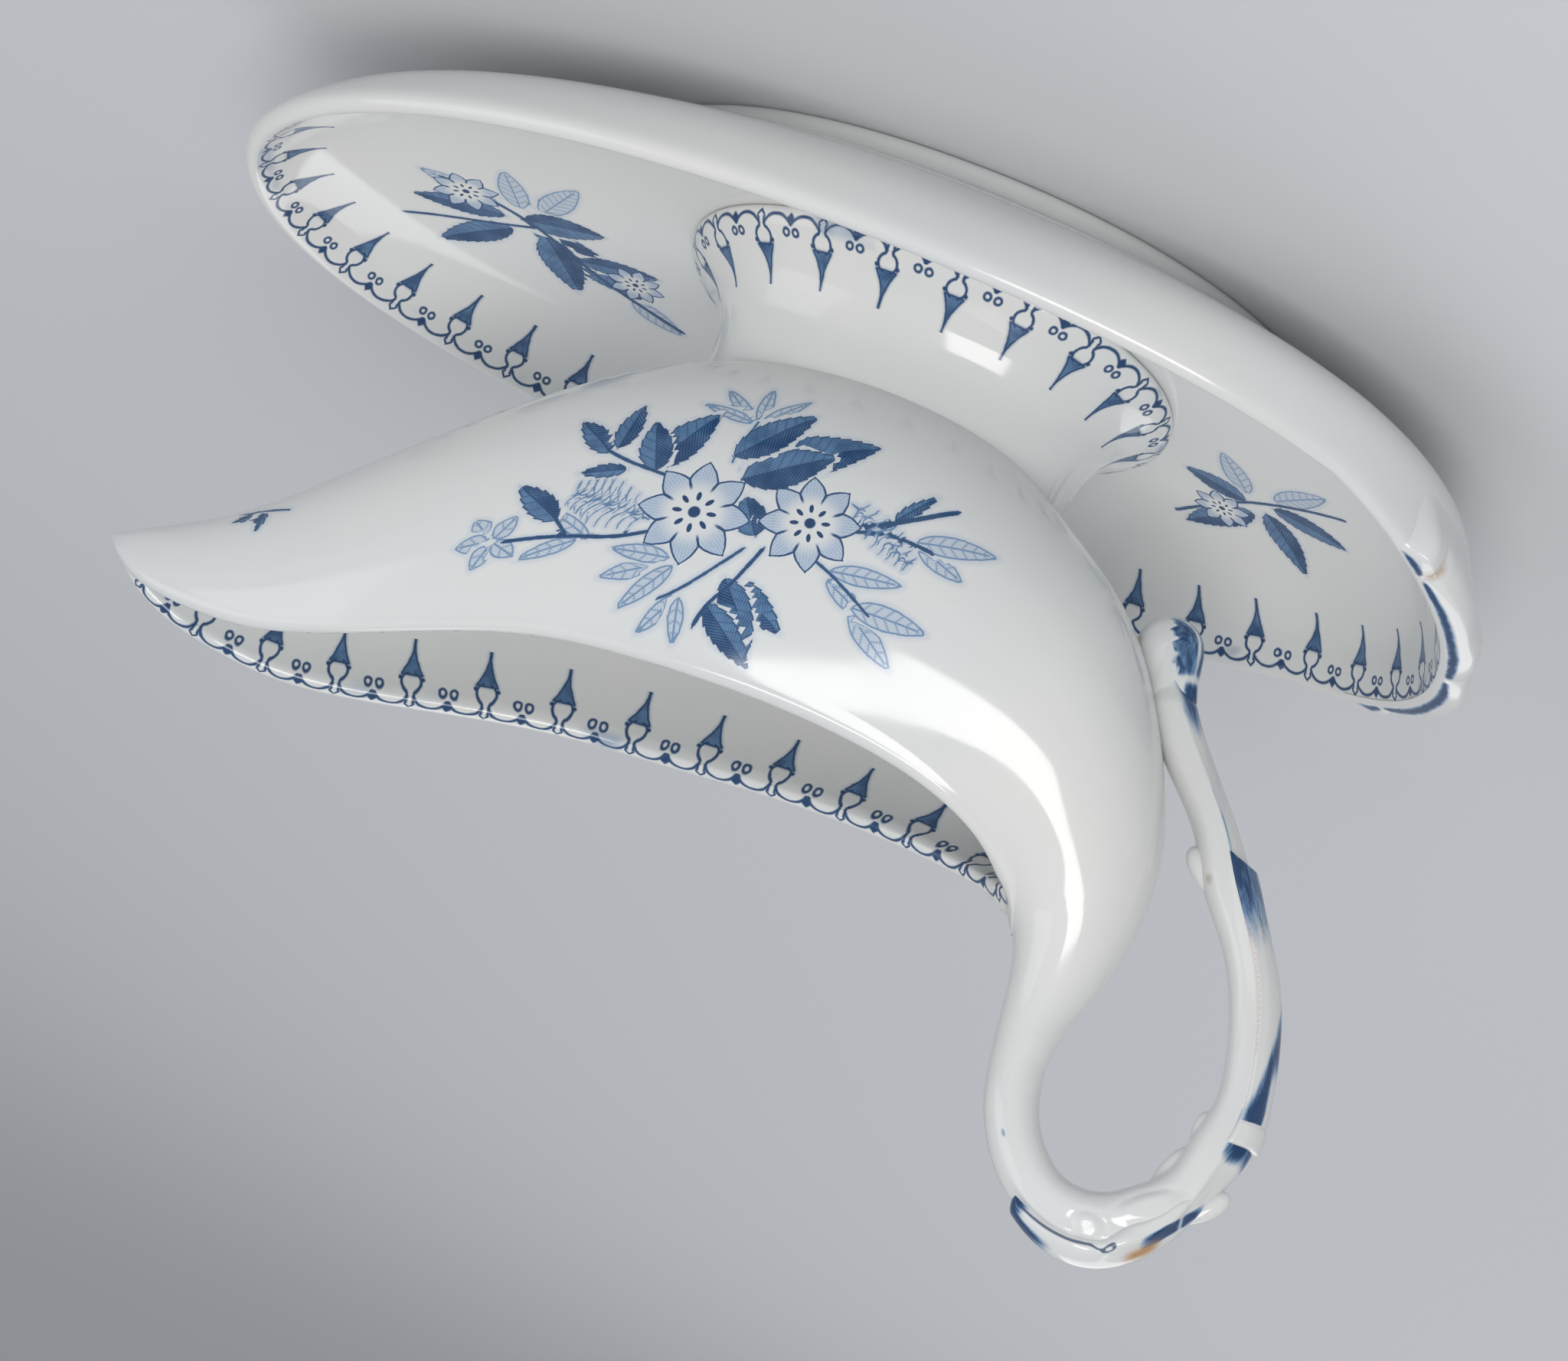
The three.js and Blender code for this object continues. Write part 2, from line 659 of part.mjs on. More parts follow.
const sauceboat = new THREE.Group();
const wholeBox = new THREE.Box3();
for (const [name, [solid, colour]] of Object.entries(pieces)) {
  const mesh = new THREE.Mesh(toGeometry(solid), material(colour));
  mesh.name = name;
  mesh.geometry.computeBoundingBox();
  wholeBox.union(mesh.geometry.boundingBox);
  sauceboat.add(mesh);
}

// The origin lies at the middle of the whole length and width, on the standing surface.
const middle = wholeBox.getCenter(new THREE.Vector3());
sauceboat.position.set(-middle.x, -middle.y, 0);

export default sauceboat;
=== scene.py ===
"""A white glazed sauceboat fixed on its own oval stand, with blue printed and painted decoration.

The object stands upright on a pale floor. The camera is rolled, because the photograph shows the
sauceboat lying on its side. Shapes are worked out in millimetres in the frame of the drawing, whose
x = 0 is the middle of the dish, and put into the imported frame's metres by one function.
"""

import bmesh
import bpy
import numpy as np
from mathutils import Matrix
from mathutils.bvhtree import BVHTree


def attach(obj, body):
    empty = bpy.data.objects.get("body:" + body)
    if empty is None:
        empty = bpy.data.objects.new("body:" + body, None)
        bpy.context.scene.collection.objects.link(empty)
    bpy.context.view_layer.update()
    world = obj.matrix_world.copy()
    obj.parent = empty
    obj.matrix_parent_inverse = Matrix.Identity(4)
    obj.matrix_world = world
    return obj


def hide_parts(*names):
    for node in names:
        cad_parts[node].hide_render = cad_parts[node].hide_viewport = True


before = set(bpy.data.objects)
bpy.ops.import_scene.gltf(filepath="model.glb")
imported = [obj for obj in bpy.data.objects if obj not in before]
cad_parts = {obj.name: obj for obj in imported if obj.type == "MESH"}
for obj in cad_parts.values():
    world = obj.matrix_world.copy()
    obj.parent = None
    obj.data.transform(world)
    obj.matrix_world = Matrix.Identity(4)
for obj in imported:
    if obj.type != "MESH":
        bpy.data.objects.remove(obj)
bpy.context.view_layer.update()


# Camera, floor and light.
# The camera stands where the photograph was taken from: it looks from the near side, a little from
# the handle end and from above, and is rolled so that the object lies as in the picture.

# Angles are in radians and lengths in millimetres. The shift takes a drawing's x to the frame's.
drawing_shift = 1.45
view_azimuth = -0.173286
view_elevation = 0.308763
view_roll = 2.709420
view_distance = 718.83
view_offset = (21.197, 72.379)

back = np.array([
    np.sin(view_azimuth) * np.cos(view_elevation),
    -np.cos(view_azimuth) * np.cos(view_elevation),
    np.sin(view_elevation),
])
level = np.array([np.cos(view_azimuth), np.sin(view_azimuth), 0.0])
upward = np.cross(back, level)
camera_x = np.cos(view_roll) * level - np.sin(view_roll) * upward
camera_y = np.sin(view_roll) * level + np.cos(view_roll) * upward
place = view_distance * back - view_offset[0] * camera_x - view_offset[1] * camera_y
place[0] += drawing_shift
pose = np.eye(4)
pose[:3, 0] = camera_x
pose[:3, 1] = camera_y
pose[:3, 2] = back
pose[:3, 3] = place / 1000

camera = bpy.data.objects.new("camera", bpy.data.cameras.new("camera"))
camera.data.sensor_width = 36.0
camera.data.lens = 93.6
camera.data.clip_end = 20.0
camera.matrix_world = Matrix(pose.tolist())
bpy.context.scene.collection.objects.link(camera)
bpy.context.scene.camera = camera
bpy.context.scene.view_settings.view_transform = "Standard"

world = bpy.data.worlds.new("studio")
world.use_nodes = True
world.node_tree.nodes["Background"].inputs["Color"].default_value = (0.86, 0.88, 0.92, 1)
world.node_tree.nodes["Background"].inputs["Strength"].default_value = 0.48
bpy.context.scene.world = world

lamp_aim = np.array([0.0, 0.0, 0.07])


def soft_lamp(name, position, size, watts, colour):
    """A square area lamp at a position in metres, turned to face the middle of the object."""
    lamp = bpy.data.objects.new(name, bpy.data.lights.new(name, "AREA"))
    lamp.data.size = size
    lamp.data.energy = watts
    lamp.data.color = colour
    facing = np.array(position) - lamp_aim
    facing = facing / np.linalg.norm(facing)
    side = np.cross([0.0, 0.0, 1.0], facing)
    side = side / np.linalg.norm(side)
    turn = np.eye(4)
    turn[:3, 0] = side
    turn[:3, 1] = np.cross(facing, side)
    turn[:3, 2] = facing
    turn[:3, 3] = position
    lamp.matrix_world = Matrix(turn.tolist())
    bpy.context.scene.collection.objects.link(lamp)


soft_lamp("key_lamp", (-0.30, -0.95, 0.75), 0.55, 7.0, (1.0, 0.985, 0.96))
soft_lamp("fill_lamp", (0.95, -0.55, 0.55), 0.9, 2.8, (0.94, 0.97, 1.0))
soft_lamp("rim_lamp", (-0.35, 0.95, 0.85), 0.8, 3.5, (0.97, 0.98, 1.0))

floor_reach = 6.0
floor_corners = [(x * floor_reach, y * floor_reach, 0) for x, y in ((-1, -1), (1, -1), (1, 1), (-1, 1))]
floor_mesh = bpy.data.meshes.new("floor")
floor_mesh.from_pydata(floor_corners, [], [(0, 1, 2, 3)])
floor = bpy.data.objects.new("floor", floor_mesh)
bpy.context.scene.collection.objects.link(floor)
floor_paper = bpy.data.materials.new("floor_paper")
floor_paper.use_nodes = True
paper_surface = floor_paper.node_tree.nodes["Principled BSDF"]
paper_surface.inputs["Base Color"].default_value = (0.60, 0.61, 0.63, 1)
paper_surface.inputs["Roughness"].default_value = 0.75
floor_mesh.materials.append(floor_paper)


# Boat.
# The press-moulded body of the sauceboat: white earthenware under a clear, faintly blue glaze, with a
# printed spray on each cheek and a printed border inside the lip. It is one wall, folded over at the
# rounded lip, whose back closes and rises into the round neck.

# A station is a section across the boat: x and z of its top edge, x and z of its keel, half widths at
# the rim and at the belly, and the share of its height at which the belly lies.
boat_stations = [
    (106.4, 100.6, 106.2, 99.2, 0.7, 0.8, 0.6),
    (103.4, 103.6, 101.6, 96.8, 4.0, 4.2, 0.66),
    (96.0, 107.3, 93.0, 92.0, 7.6, 8.2, 0.7),
    (85.0, 109.1, 83.0, 85.0, 10.9, 12.2, 0.68),
    (72.0, 108.9, 71.0, 73.4, 14.4, 17.0, 0.65),
    (57.0, 105.2, 57.0, 59.8, 18.5, 22.6, 0.62),
    (41.0, 99.9, 41.0, 45.6, 22.9, 28.0, 0.6),
    (24.0, 95.4, 24.0, 34.4, 26.8, 32.4, 0.58),
    (6.0, 93.1, 6.0, 27.4, 27.8, 34.8, 0.57),
    (-12.0, 91.7, -12.0, 25.2, 26.4, 35.2, 0.56),
    (-28.0, 91.6, -31.0, 29.0, 24.0, 34.2, 0.55),
    (-40.0, 92.6, -47.9, 38.1, 21.0, 31.6, 0.55),
    (-49.0, 94.4, -62.9, 49.0, 16.6, 28.0, 0.54),
    (-55.5, 96.9, -74.4, 65.1, 10.4, 23.0, 0.53),
    (-60.5, 100.6, -81.2, 80.4, 4.0, 17.2, 0.52),
    (-64.0, 105.3, -83.2, 94.5, 0.0, 12.0, 0.5),
    (-66.2, 111.5, -81.6, 107.6, 0.0, 8.4, 0.5),
    (-67.4, 118.5, -78.8, 117.0, 0.0, 6.4, 0.5),
    (-68.6, 126.0, -78.0, 125.0, 0.0, 5.6, 0.5),
]
mouth_end = 15.0
bowl_start = 1.1
bowl_narrows = 12.4
bowl_end = 13.7
boat_wall = 4.2
boat_floor = 5.2
lip_radius = 1.7


def through_rows(table, places, knots=None):
    """Natural cubic splines through the rows of a table, one for each column.

    The rows stand at the knots, or at whole numbers where none are given. The bend at each row comes
    from one linear system, in which every row's two cubics share their slope and bend; each place then
    reads the cubic between the two rows beside it.
    """
    rows = np.asarray(table, float)
    count = len(rows)
    knots = np.arange(count) if knots is None else knots
    gap = np.diff(knots)
    inner = np.arange(1, count - 1)
    system = np.eye(count)
    system[inner, inner - 1] = gap[:-1]
    system[inner, inner] = 2 * (gap[:-1] + gap[1:])
    system[inner, inner + 1] = gap[1:]
    load = np.zeros_like(rows)
    load[inner] = 6 * np.diff(np.diff(rows, axis=0) / gap[:, None], axis=0)
    bend = np.linalg.solve(system, load)
    low = np.clip(np.searchsorted(knots, places, side="right") - 1, 0, count - 2)
    width = gap[low][:, None]
    f = (np.asarray(places) - knots[low])[:, None] / width
    g = 1 - f
    curve = g * rows[low] + f * rows[low + 1]
    return curve + ((g ** 3 - g) * bend[low] + (f ** 3 - f) * bend[low + 1]) * width ** 2 / 6


def smooth_step(low, high, values):
    """0 below low, 1 above high, and the cubic 3t^2 - 2t^3 of the share t between them."""
    share = np.clip((values - low) / (high - low), 0, 1)
    return share * share * (3 - 2 * share)


def eased_shares(count):
    """Shares from 0 to 1 that crowd towards both ends: half of 1 less the cosine of even angles."""
    return (1 - np.cos(np.linspace(0, np.pi, count))) / 2


def run_along(line):
    """The distance along a line of points, from 0 at its first point."""
    return np.concatenate([[0], np.cumsum(np.linalg.norm(np.diff(line, axis=0), axis=1))])


def even_rows(rows_of_points, shares):
    """Points along each row's polyline at the given shares of its own length, and the lengths."""
    out = np.empty((len(rows_of_points), len(shares), 3))
    lengths = np.empty(len(rows_of_points))
    for index, row in enumerate(rows_of_points):
        run = run_along(row)
        lengths[index] = run[-1]
        for axis in range(3):
            out[index, :, axis] = np.interp(shares * run[-1], run, row[:, axis])
    return out, lengths


def grid_piece(name, points, material, uv=None, marks=None, ends="poles"):
    """A mesh from a grid of points in drawing millimetres, whose columns wrap round.

    Cell (row, column) joins its four corners. With ends "poles" a pole in the middle of each end row
    closes it, with "wrap" the rows wrap round too, and with "met" the end rows are already closed. uv
    holds one more column than points, so that the seam has its own values. marks are named fields of
    three numbers at each point. Coincident points are merged, and edges sharper than 55 degrees are
    shaded as edges.
    """
    marks = marks or {}
    if ends == "poles":
        end_rows = ((1, 1), (0, 0), (0, 0))
        poles = [np.broadcast_to(row.mean(axis=0), row.shape)[None] for row in (points[0], points[-1])]
        points = np.concatenate([poles[0], points, poles[1]])
        uv = None if uv is None else np.pad(uv, end_rows, mode="edge")
        marks = {label: np.pad(values, end_rows, mode="edge") for label, values in marks.items()}
    rows, columns = points.shape[:2]
    flat = points.reshape(-1, 3) + (drawing_shift, 0, 0)
    r, c = np.meshgrid(np.arange(rows if ends == "wrap" else rows - 1), np.arange(columns), indexing="ij")
    r, c = r.ravel(), c.ravel()
    r1, c1 = (r + 1) % rows, (c + 1) % columns
    corners = np.stack([r * columns + c, r * columns + c1, r1 * columns + c1, r1 * columns + c], axis=1)
    mesh = bpy.data.meshes.new(name)
    mesh.from_pydata((flat / 1000).tolist(), [], corners.tolist())
    if uv is not None:
        wide = columns + 1
        seamed = np.stack([r * wide + c, r * wide + c + 1, r1 * wide + c + 1, r1 * wide + c], axis=1)
        layer = mesh.uv_layers.new(name="print_map")
        layer.data.foreach_set("uv", uv.reshape(-1, 2)[seamed.ravel()].astype(np.float32).ravel())
    for label, values in marks.items():
        layer = mesh.attributes.new(label, "FLOAT_VECTOR", "POINT")
        layer.data.foreach_set("vector", values.reshape(-1, 3).astype(np.float32).ravel())
    work = bmesh.new()
    work.from_mesh(mesh)
    bmesh.ops.remove_doubles(work, verts=work.verts, dist=2e-6)
    bmesh.ops.recalc_face_normals(work, faces=work.faces)
    work.to_mesh(mesh)
    work.free()
    mesh.shade_smooth()
    mesh.set_sharp_from_angle(angle=np.radians(55))
    mesh.materials.append(material)
    piece = bpy.data.objects.new(name, mesh)
    bpy.context.scene.collection.objects.link(piece)
    return piece


def measured_from(points, line):
    """The run along a dense line to its point nearest each grid point, and the distance from there."""
    run = run_along(line)
    squares = (line ** 2).sum(axis=1)
    along, away = np.empty(points.shape[:2]), np.empty(points.shape[:2])
    for row, ring in enumerate(points):
        apart = (ring ** 2).sum(axis=1)[:, None] + squares - 2 * ring @ line.T
        nearest = apart.argmin(axis=1)
        along[row] = run[nearest]
        away[row] = np.sqrt(np.maximum(apart[np.arange(len(ring)), nearest], 0))
    return along, away


def boat_sections(places):
    """The boat's sections at the given places, as one column for each value.

    They are the keel's x and z, the way up from it to the top edge in x and z, the height that way, the
    half widths at the rim and the belly, and the belly's share of the height.
    """
    top_x, top_z, keel_x, keel_z, rim, belly, share = through_rows(boat_stations, places).T[:, :, None]
    height = np.hypot(top_x - keel_x, top_z - keel_z)
    up_x, up_z = (top_x - keel_x) / height, (top_z - keel_z) / height
    return keel_x, keel_z, up_x, up_z, height, rim, belly, share


def boat_half_section(places, samples):
    """The outer half section of the boat at each place, from the keel up to the shoulder of the lip.

    A section lies in the plane through its keel point and its top point. Its half width rises from the
    keel as a superellipse to the belly, then leans in to the rim along a parabola, which turns into a
    quarter ellipse where the mouth has closed over. The way up and the height of the lip are given too.
    """
    keel_x, keel_z, up_x, up_z, height, rim, belly, share = boat_sections(places)
    rim = np.maximum(rim, 0)
    closing = smooth_step(mouth_end - 4, mouth_end, places)[:, None]
    lip_rise = np.minimum(np.minimum(lip_radius, height * 0.2), rim * 0.45)
    level_up = eased_shares(samples) * (height - lip_rise)
    q = level_up / height
    power = 2.35 - 0.35 * closing
    low = np.clip(q / share, 0, 1)
    keel_part = belly * (1 - (1 - low) ** power) ** (1 / power)
    rise = np.clip((q - share) / (1 - share), 0, 1)
    lean = rim + (belly - rim) * (1 - rise ** 2) ** (1 - 0.5 * closing)
    half = np.where(q < share, keel_part, lean)
    points = np.stack([keel_x + up_x * level_up, half, keel_z + up_z * level_up], axis=2)
    return points, np.concatenate([up_x, up_z], axis=1), lip_rise


def bowl_half_section(places, samples):
    """The inner half section of the boat, from its floor up to the shoulder of the lip.

    It is the outer section set in by the wall, with a superellipse floor. It narrows to nothing as
    half an ellipse at the back of the mouth, and grows shallow towards the tip of the spout.
    """
    keel_x, keel_z, up_x, up_z, height, rim, belly, share = boat_sections(places)
    past = np.clip((places - bowl_narrows) / (bowl_end - bowl_narrows), 0, 1)[:, None]
    opened = smooth_step(bowl_start, bowl_start + 1.5, places)[:, None]
    thin = np.minimum(1, 0.6 + (places - bowl_start) * 0.2)[:, None]
    floor_level = np.minimum(boat_floor * thin, height * 0.45)
    floor_level = floor_level + (1 - opened) * (height - floor_level) * 0.8
    narrowed = np.sqrt(1 - past ** 2) * (0.4 + 0.6 * opened)
    half_rim = np.maximum(rim - boat_wall * thin, 0.5) * narrowed
    half_belly = np.maximum(belly - boat_wall * thin, 0.6) * narrowed
    belly_level = np.maximum(share * height, floor_level + 0.3 * (height - floor_level))
    reach = height - np.minimum(lip_radius, height * 0.2) - floor_level
    level_up = floor_level + eased_shares(samples) * reach
    low = np.clip((level_up - floor_level) / (belly_level - floor_level), 0, 1)
    keel_part = half_belly * (1 - (1 - low) ** 2.3) ** (1 / 2.3)
    rise = np.clip((level_up - belly_level) / (height - belly_level), 0, 1)
    lean = half_rim + (half_belly - half_rim) * (1 - rise ** 2)
    half = np.where(level_up < belly_level, keel_part, lean)
    return np.stack([keel_x + up_x * level_up, half, keel_z + up_z * level_up], axis=2)


def stepped(low, high, fine_low, fine_high, coarse, fine):
    """Places from low to high whose spacing is fine between two bounds and coarse elsewhere."""
    dense = np.linspace(low, high, 4001)
    near = smooth_step(fine_low - coarse, fine_low, dense)
    near = near * (1 - smooth_step(fine_high, fine_high + coarse, dense))
    spacing = coarse + (fine - coarse) * near
    run = np.concatenate([[0], np.cumsum(np.diff(dense) / spacing[1:])])
    return np.interp(np.linspace(0, run[-1], int(round(run[-1])) + 1), run, dense)


def both_sides(far_half):
    """Closed rings from their far halves: each half, then its mirror image across y = 0 back again."""
    near_half = far_half[:, ::-1] * (1, -1, 1)
    return np.concatenate([far_half, near_half[:, 1:-1]], axis=1)


# The grid is finest where the spray lies. Rows run from the spout to the neck and columns from the
# keel over the lip into the bowl and back up the other side. Past the mouth the bowl's columns meet.
mouth_places = stepped(0.0, mouth_end, fine_low=5.6, fine_high=12.4, coarse=0.095, fine=0.036)
neck_places = np.linspace(mouth_end, len(boat_stations) - 1, 38)[1:]
outer_shares = stepped(0.0, 1.0, fine_low=0.16, fine_high=0.90, coarse=0.022, fine=0.0078)
dense_sections, section_up, lip_height = boat_half_section(mouth_places, 1500)
outer, outer_length = even_rows(dense_sections, outer_shares)
mouth_share = mouth_places / mouth_end
bowl_places = (mouth_places + bowl_start * (1 - mouth_share) ** 6
               - (mouth_end - bowl_end) * mouth_share ** 8)
bowl, _ = even_rows(bowl_half_section(bowl_places, 800), np.linspace(0, 1, 30))
lip_steps = 11
crest_step = lip_steps // 2
bend_angles = np.linspace(0, np.pi, lip_steps + 2)[1:-1, None]
lip_middle = (outer[:, -1] + bowl[:, -1]) / 2
lip_across = (outer[:, -1] - bowl[:, -1]) / 2
lip_top = np.insert(section_up * np.maximum(lip_height, 0.35), 1, 0, axis=1)
lip = (lip_middle[:, None] + lip_across[:, None] * np.cos(bend_angles)
       + lip_top[:, None] * np.sin(bend_angles) ** 0.85)
far_half = np.concatenate([outer, lip, bowl[:, ::-1]], axis=1)
half_count = far_half.shape[1]
neck_half, _ = even_rows(boat_half_section(neck_places, 1500)[0], outer_shares)
neck_middle = np.repeat(neck_half[:, -1:] * (1, 0, 1), half_count - neck_half.shape[1], axis=1)
neck_far = np.concatenate([neck_half, neck_middle], axis=1)
boat_rings = np.concatenate([both_sides(far_half), both_sides(neck_far)])

# Where each point lies for the border: how far round the lip's crest the nearest point of the crest
# lies, in repeats, and how far inside the crest, or outside it as a negative depth.
boat_repeats = 14
off_border = -50.0
crest_places = np.linspace(0, mouth_end, 4001)
boat_crest = np.stack(
    [np.interp(crest_places, mouth_places, values) for values in lip[:, crest_step].T], axis=1)
rim_length = run_along(boat_crest)[-1]
inner = np.concatenate([lip[:, crest_step:], bowl[:, ::-1]], axis=1)
inner_along, inner_away = measured_from(inner, boat_crest)
outer_along = np.repeat(inner_along[:, :1], half_count - inner_along.shape[1], axis=1)
below_lip = (1 - outer_shares) * outer_length[:, None]
depth_bend = np.broadcast_to(np.linspace(-1.4, -0.3, crest_step), (len(outer), crest_step))
along_far = np.concatenate([outer_along, inner_along], axis=1) / rim_length * boat_repeats
depth_far = np.concatenate([-below_lip - 1.5, depth_bend, inner_away], axis=1)
boat_uv = np.zeros((len(boat_rings), 2 * half_count - 1, 2))
boat_uv[..., 1] = off_border
for layer, half in enumerate((along_far, depth_far)):
    boat_uv[:len(outer), :, layer] = np.concatenate([half, half[:, -2::-1]], axis=1)

# The number stored where nothing is printed, and how far past its edge a leaf's numbers are stored.
unprinted = 9.0
leaf_margin = 0.9


def laid(field, over, *parts):
    """A field of three numbers, with other numbers or arrays laid over it where over holds."""
    return np.where(over[..., None], np.stack(np.broadcast_arrays(*parts), axis=-1), field)


def spray_marks(x, y, leaves, stems, flowers):
    """Where each point lies within a printed spray, at surface coordinates x and y in millimetres.

    leaf_place is the share along the leaf on top, the distance across it and the signed distance to
    its edge, negative inside. leaf_kind is 0 for a dark leaf or 1 for a pale one, its length, and the
    distance to the nearest flower in its radii. At share t a leaf reaches
    width * (4t(1-t))^0.75 * (1.3 - 0.6t) across. stem_place is the distance to the nearest stem, the
    signed distance across it and its half width. bloom_place is the place from the nearest flower's
    centre in radii, and its radius.
    """
    leaf_place, leaf_kind, stem_place, bloom_place = np.full((4,) + x.shape + (3,), unprinted)
    edge = np.full(x.shape, unprinted)
    for base, tip, width, pale in leaves:
        step = np.subtract(tip, base)
        length = np.hypot(*step)
        t = ((x - base[0]) * step[0] + (y - base[1]) * step[1]) / length ** 2
        across = ((y - base[1]) * step[0] - (x - base[0]) * step[1]) / length
        inside = np.clip(t, 0, 1)
        reach = width * (4 * inside * (1 - inside)) ** 0.75 * (1.3 - 0.6 * inside)
        end = np.hypot(np.maximum(np.maximum(-t, t - 1), 0) * length, across)
        d = np.where((t > 0) & (t < 1), np.abs(across) - reach, end)
        over = (d < leaf_margin) | (d < edge)
        edge = np.where(over, d, edge)
        leaf_place = laid(leaf_place, over, t, across, d)
        leaf_kind = laid(leaf_kind, over, pale, length, 0)
    near = np.full(x.shape, unprinted)
    for points, width in stems:
        spans = len(points) - 1
        rows = through_rows(points, np.linspace(0, spans, 10 * spans))
        for a, b in zip(rows[:-1], rows[1:]):
            step = b - a
            t = np.clip(((x - a[0]) * step[0] + (y - a[1]) * step[1]) / (step @ step), 0, 1)
            d = np.hypot(x - a[0] - t * step[0], y - a[1] - t * step[1])
            side = np.sign((y - a[1]) * step[0] - (x - a[0]) * step[1])
            over = d < near
            near = np.where(over, d, near)
            stem_place = laid(stem_place, over, d, d * side, width)
    nearest = np.full(x.shape, np.inf)
    for centre, radius, turn in flowers:
        dx, dy = (x - centre[0]) / radius, (y - centre[1]) / radius
        over = np.hypot(dx, dy) < nearest
        nearest = np.where(over, np.hypot(dx, dy), nearest)
        turned_x = dx * np.cos(turn) - dy * np.sin(turn)
        turned_y = dx * np.sin(turn) + dy * np.cos(turn)
        bloom_place = laid(bloom_place, over, turned_x, turned_y, radius)
    leaf_kind[..., 2] = nearest
    return {"leaf_place": leaf_place, "leaf_kind": leaf_kind, "stem_place": stem_place,
            "bloom_place": bloom_place}


def fern(base, tip, leaflets, size, lean):
    """A thin stem with fine leaflets on both sides, as a list of stems.

    A leaflet leans forward by its lean and bows a little; its reach is greatest near the middle.
    """
    base, tip = np.array(base, float), np.array(tip, float)
    along = (tip - base) / np.linalg.norm(tip - base)
    beside = np.array([-along[1], along[0]])
    strokes = [([tuple(base), tuple((base + tip) / 2), tuple(tip)], 0.14)]
    for number in range(leaflets):
        root = base + (tip - base) * (number + 0.5) / leaflets
        reach = size * (1 - 0.5 * abs(2 * number / leaflets - 0.8))
        for side in (-1, 1):
            end = root + along * lean * reach + beside * side * reach
            bow = (root + end) / 2 + along * 0.18 * reach
            strokes.append(([tuple(root), tuple(bow), tuple(end)], 0.11))
    return strokes


# A leaf is its base, its tip, its half width, and 1 where pale or 0 where dark. A stem is its points
# and half width. A flower is its centre, radius and turn. On the boat a place is x and the distance
# below the lip.
boat_leaves = [
    ((-28.0, 31.5), (-37.0, 29.6), 1.7, 1),
    ((-27.5, 32.0), (-40.5, 36.8), 1.8, 1),
    ((-16.5, 20.0), (-26.0, 16.2), 1.5, 1),
    ((-16.5, 21.5), (-28.5, 24.2), 1.6, 1),
    ((-22.0, 16.6), (-31.5, 11.0), 1.9, 1),
    ((-22.0, 17.4), (-35.0, 19.0), 2.0, 1),
    ((7.8, 14.6), (18.6, 9.0), 1.8, 1),
    ((8.6, 15.0), (18.6, 14.2), 1.5, 1),
    ((7.6, 14.0), (14.0, 4.4), 1.5, 1),
    ((5.0, 9.6), (9.4, 1.4), 1.4, 1),
    ((4.8, 9.2), (3.0, 1.2), 1.3, 1),
    ((22.5, 15.0), (31.5, 19.8), 1.3, 1),
    ((24.5, 14.6), (33.0, 10.2), 1.3, 1),
    ((5.5, 42.0), (12.8, 49.0), 1.3, 1),
    ((5.5, 42.4), (15.2, 44.2), 1.1, 1),
    ((5.0, 42.8), (5.6, 51.5), 1.2, 1),
    ((4.6, 42.6), (-1.4, 50.6), 1.1, 1),
    ((38.6, 14.0), (42.4, 17.4), 1.7, 1),
    ((38.6, 13.4), (43.6, 12.2), 1.7, 1),
    ((38.2, 12.8), (39.6, 8.2), 1.6, 1),
    ((37.8, 13.2), (33.6, 10.8), 1.6, 1),
    ((37.9, 13.9), (35.6, 18.2), 1.6, 1),
    ((-3.0, 22.6), (1.2, 28.8), 2.6, 0),
    ((4.0, 33.0), (-15.5, 45.6), 4.0, 0),
    ((3.0, 31.4), (-9.5, 40.6), 3.5, 0),
    ((6.0, 35.0), (-3.5, 47.5), 2.9, 0),
    ((18.0, 29.5), (11.5, 42.5), 3.2, 0),
    ((17.0, 29.0), (20.8, 38.4), 2.6, 0),
    ((25.6, 31.0), (33.0, 37.6), 1.9, 0),
    ((24.8, 32.0), (24.2, 41.8), 1.9, 0),
    ((21.5, 28.4), (29.0, 26.6), 1.3, 0),
    ((-1.8, 14.4), (-12.8, 9.0), 2.5, 0),
    ((-1.0, 14.6), (-9.0, 5.4), 2.4, 0),
    ((0.5, 9.6), (-10.0, 1.6), 2.3, 0),
    ((29.0, 17.6), (37.8, 24.0), 2.1, 0),
    ((-22.8, 33.6), (-27.6, 41.2), 1.1, 0),
    ((80.4, 19.5), (85.2, 15.2), 1.0, 0),
    ((80.4, 19.5), (80.0, 14.4), 0.9, 0),
]
boat_stems = [
    ([(-16.0, 29.6), (-22.7, 33.2), (-31.5, 40.4)], 0.42),
    ([(-16.0, 28.6), (-23.0, 31.0), (-30.5, 31.6)], 0.34),
    ([(12.6, 19.0), (19.0, 16.2), (26.5, 15.0), (36.0, 13.4)], 0.34),
    ([(26.5, 15.2), (28.0, 16.6), (29.4, 18.0)], 0.3),
    ([(-5.0, 21.0), (-2.4, 14.0), (0.0, 9.4), (1.0, 5.0)], 0.32),
    ([(-2.0, 20.0), (4.0, 12.0), (8.0, 8.0)], 0.26),
    ([(-13.0, 22.4), (-18.0, 20.6), (-25.0, 17.4)], 0.26),
    ([(14.0, 28.5), (21.5, 29.8), (26.0, 31.5)], 0.3),
    ([(5.8, 34.0), (5.6, 38.0), (5.0, 42.8)], 0.2),
    ([(76.0, 20.4), (80.4, 19.5), (84.6, 17.8)], 0.26),
]
boat_stems += fern((14.6, 20.4), (28.0, 22.8), 9, 4.6, 0.5)
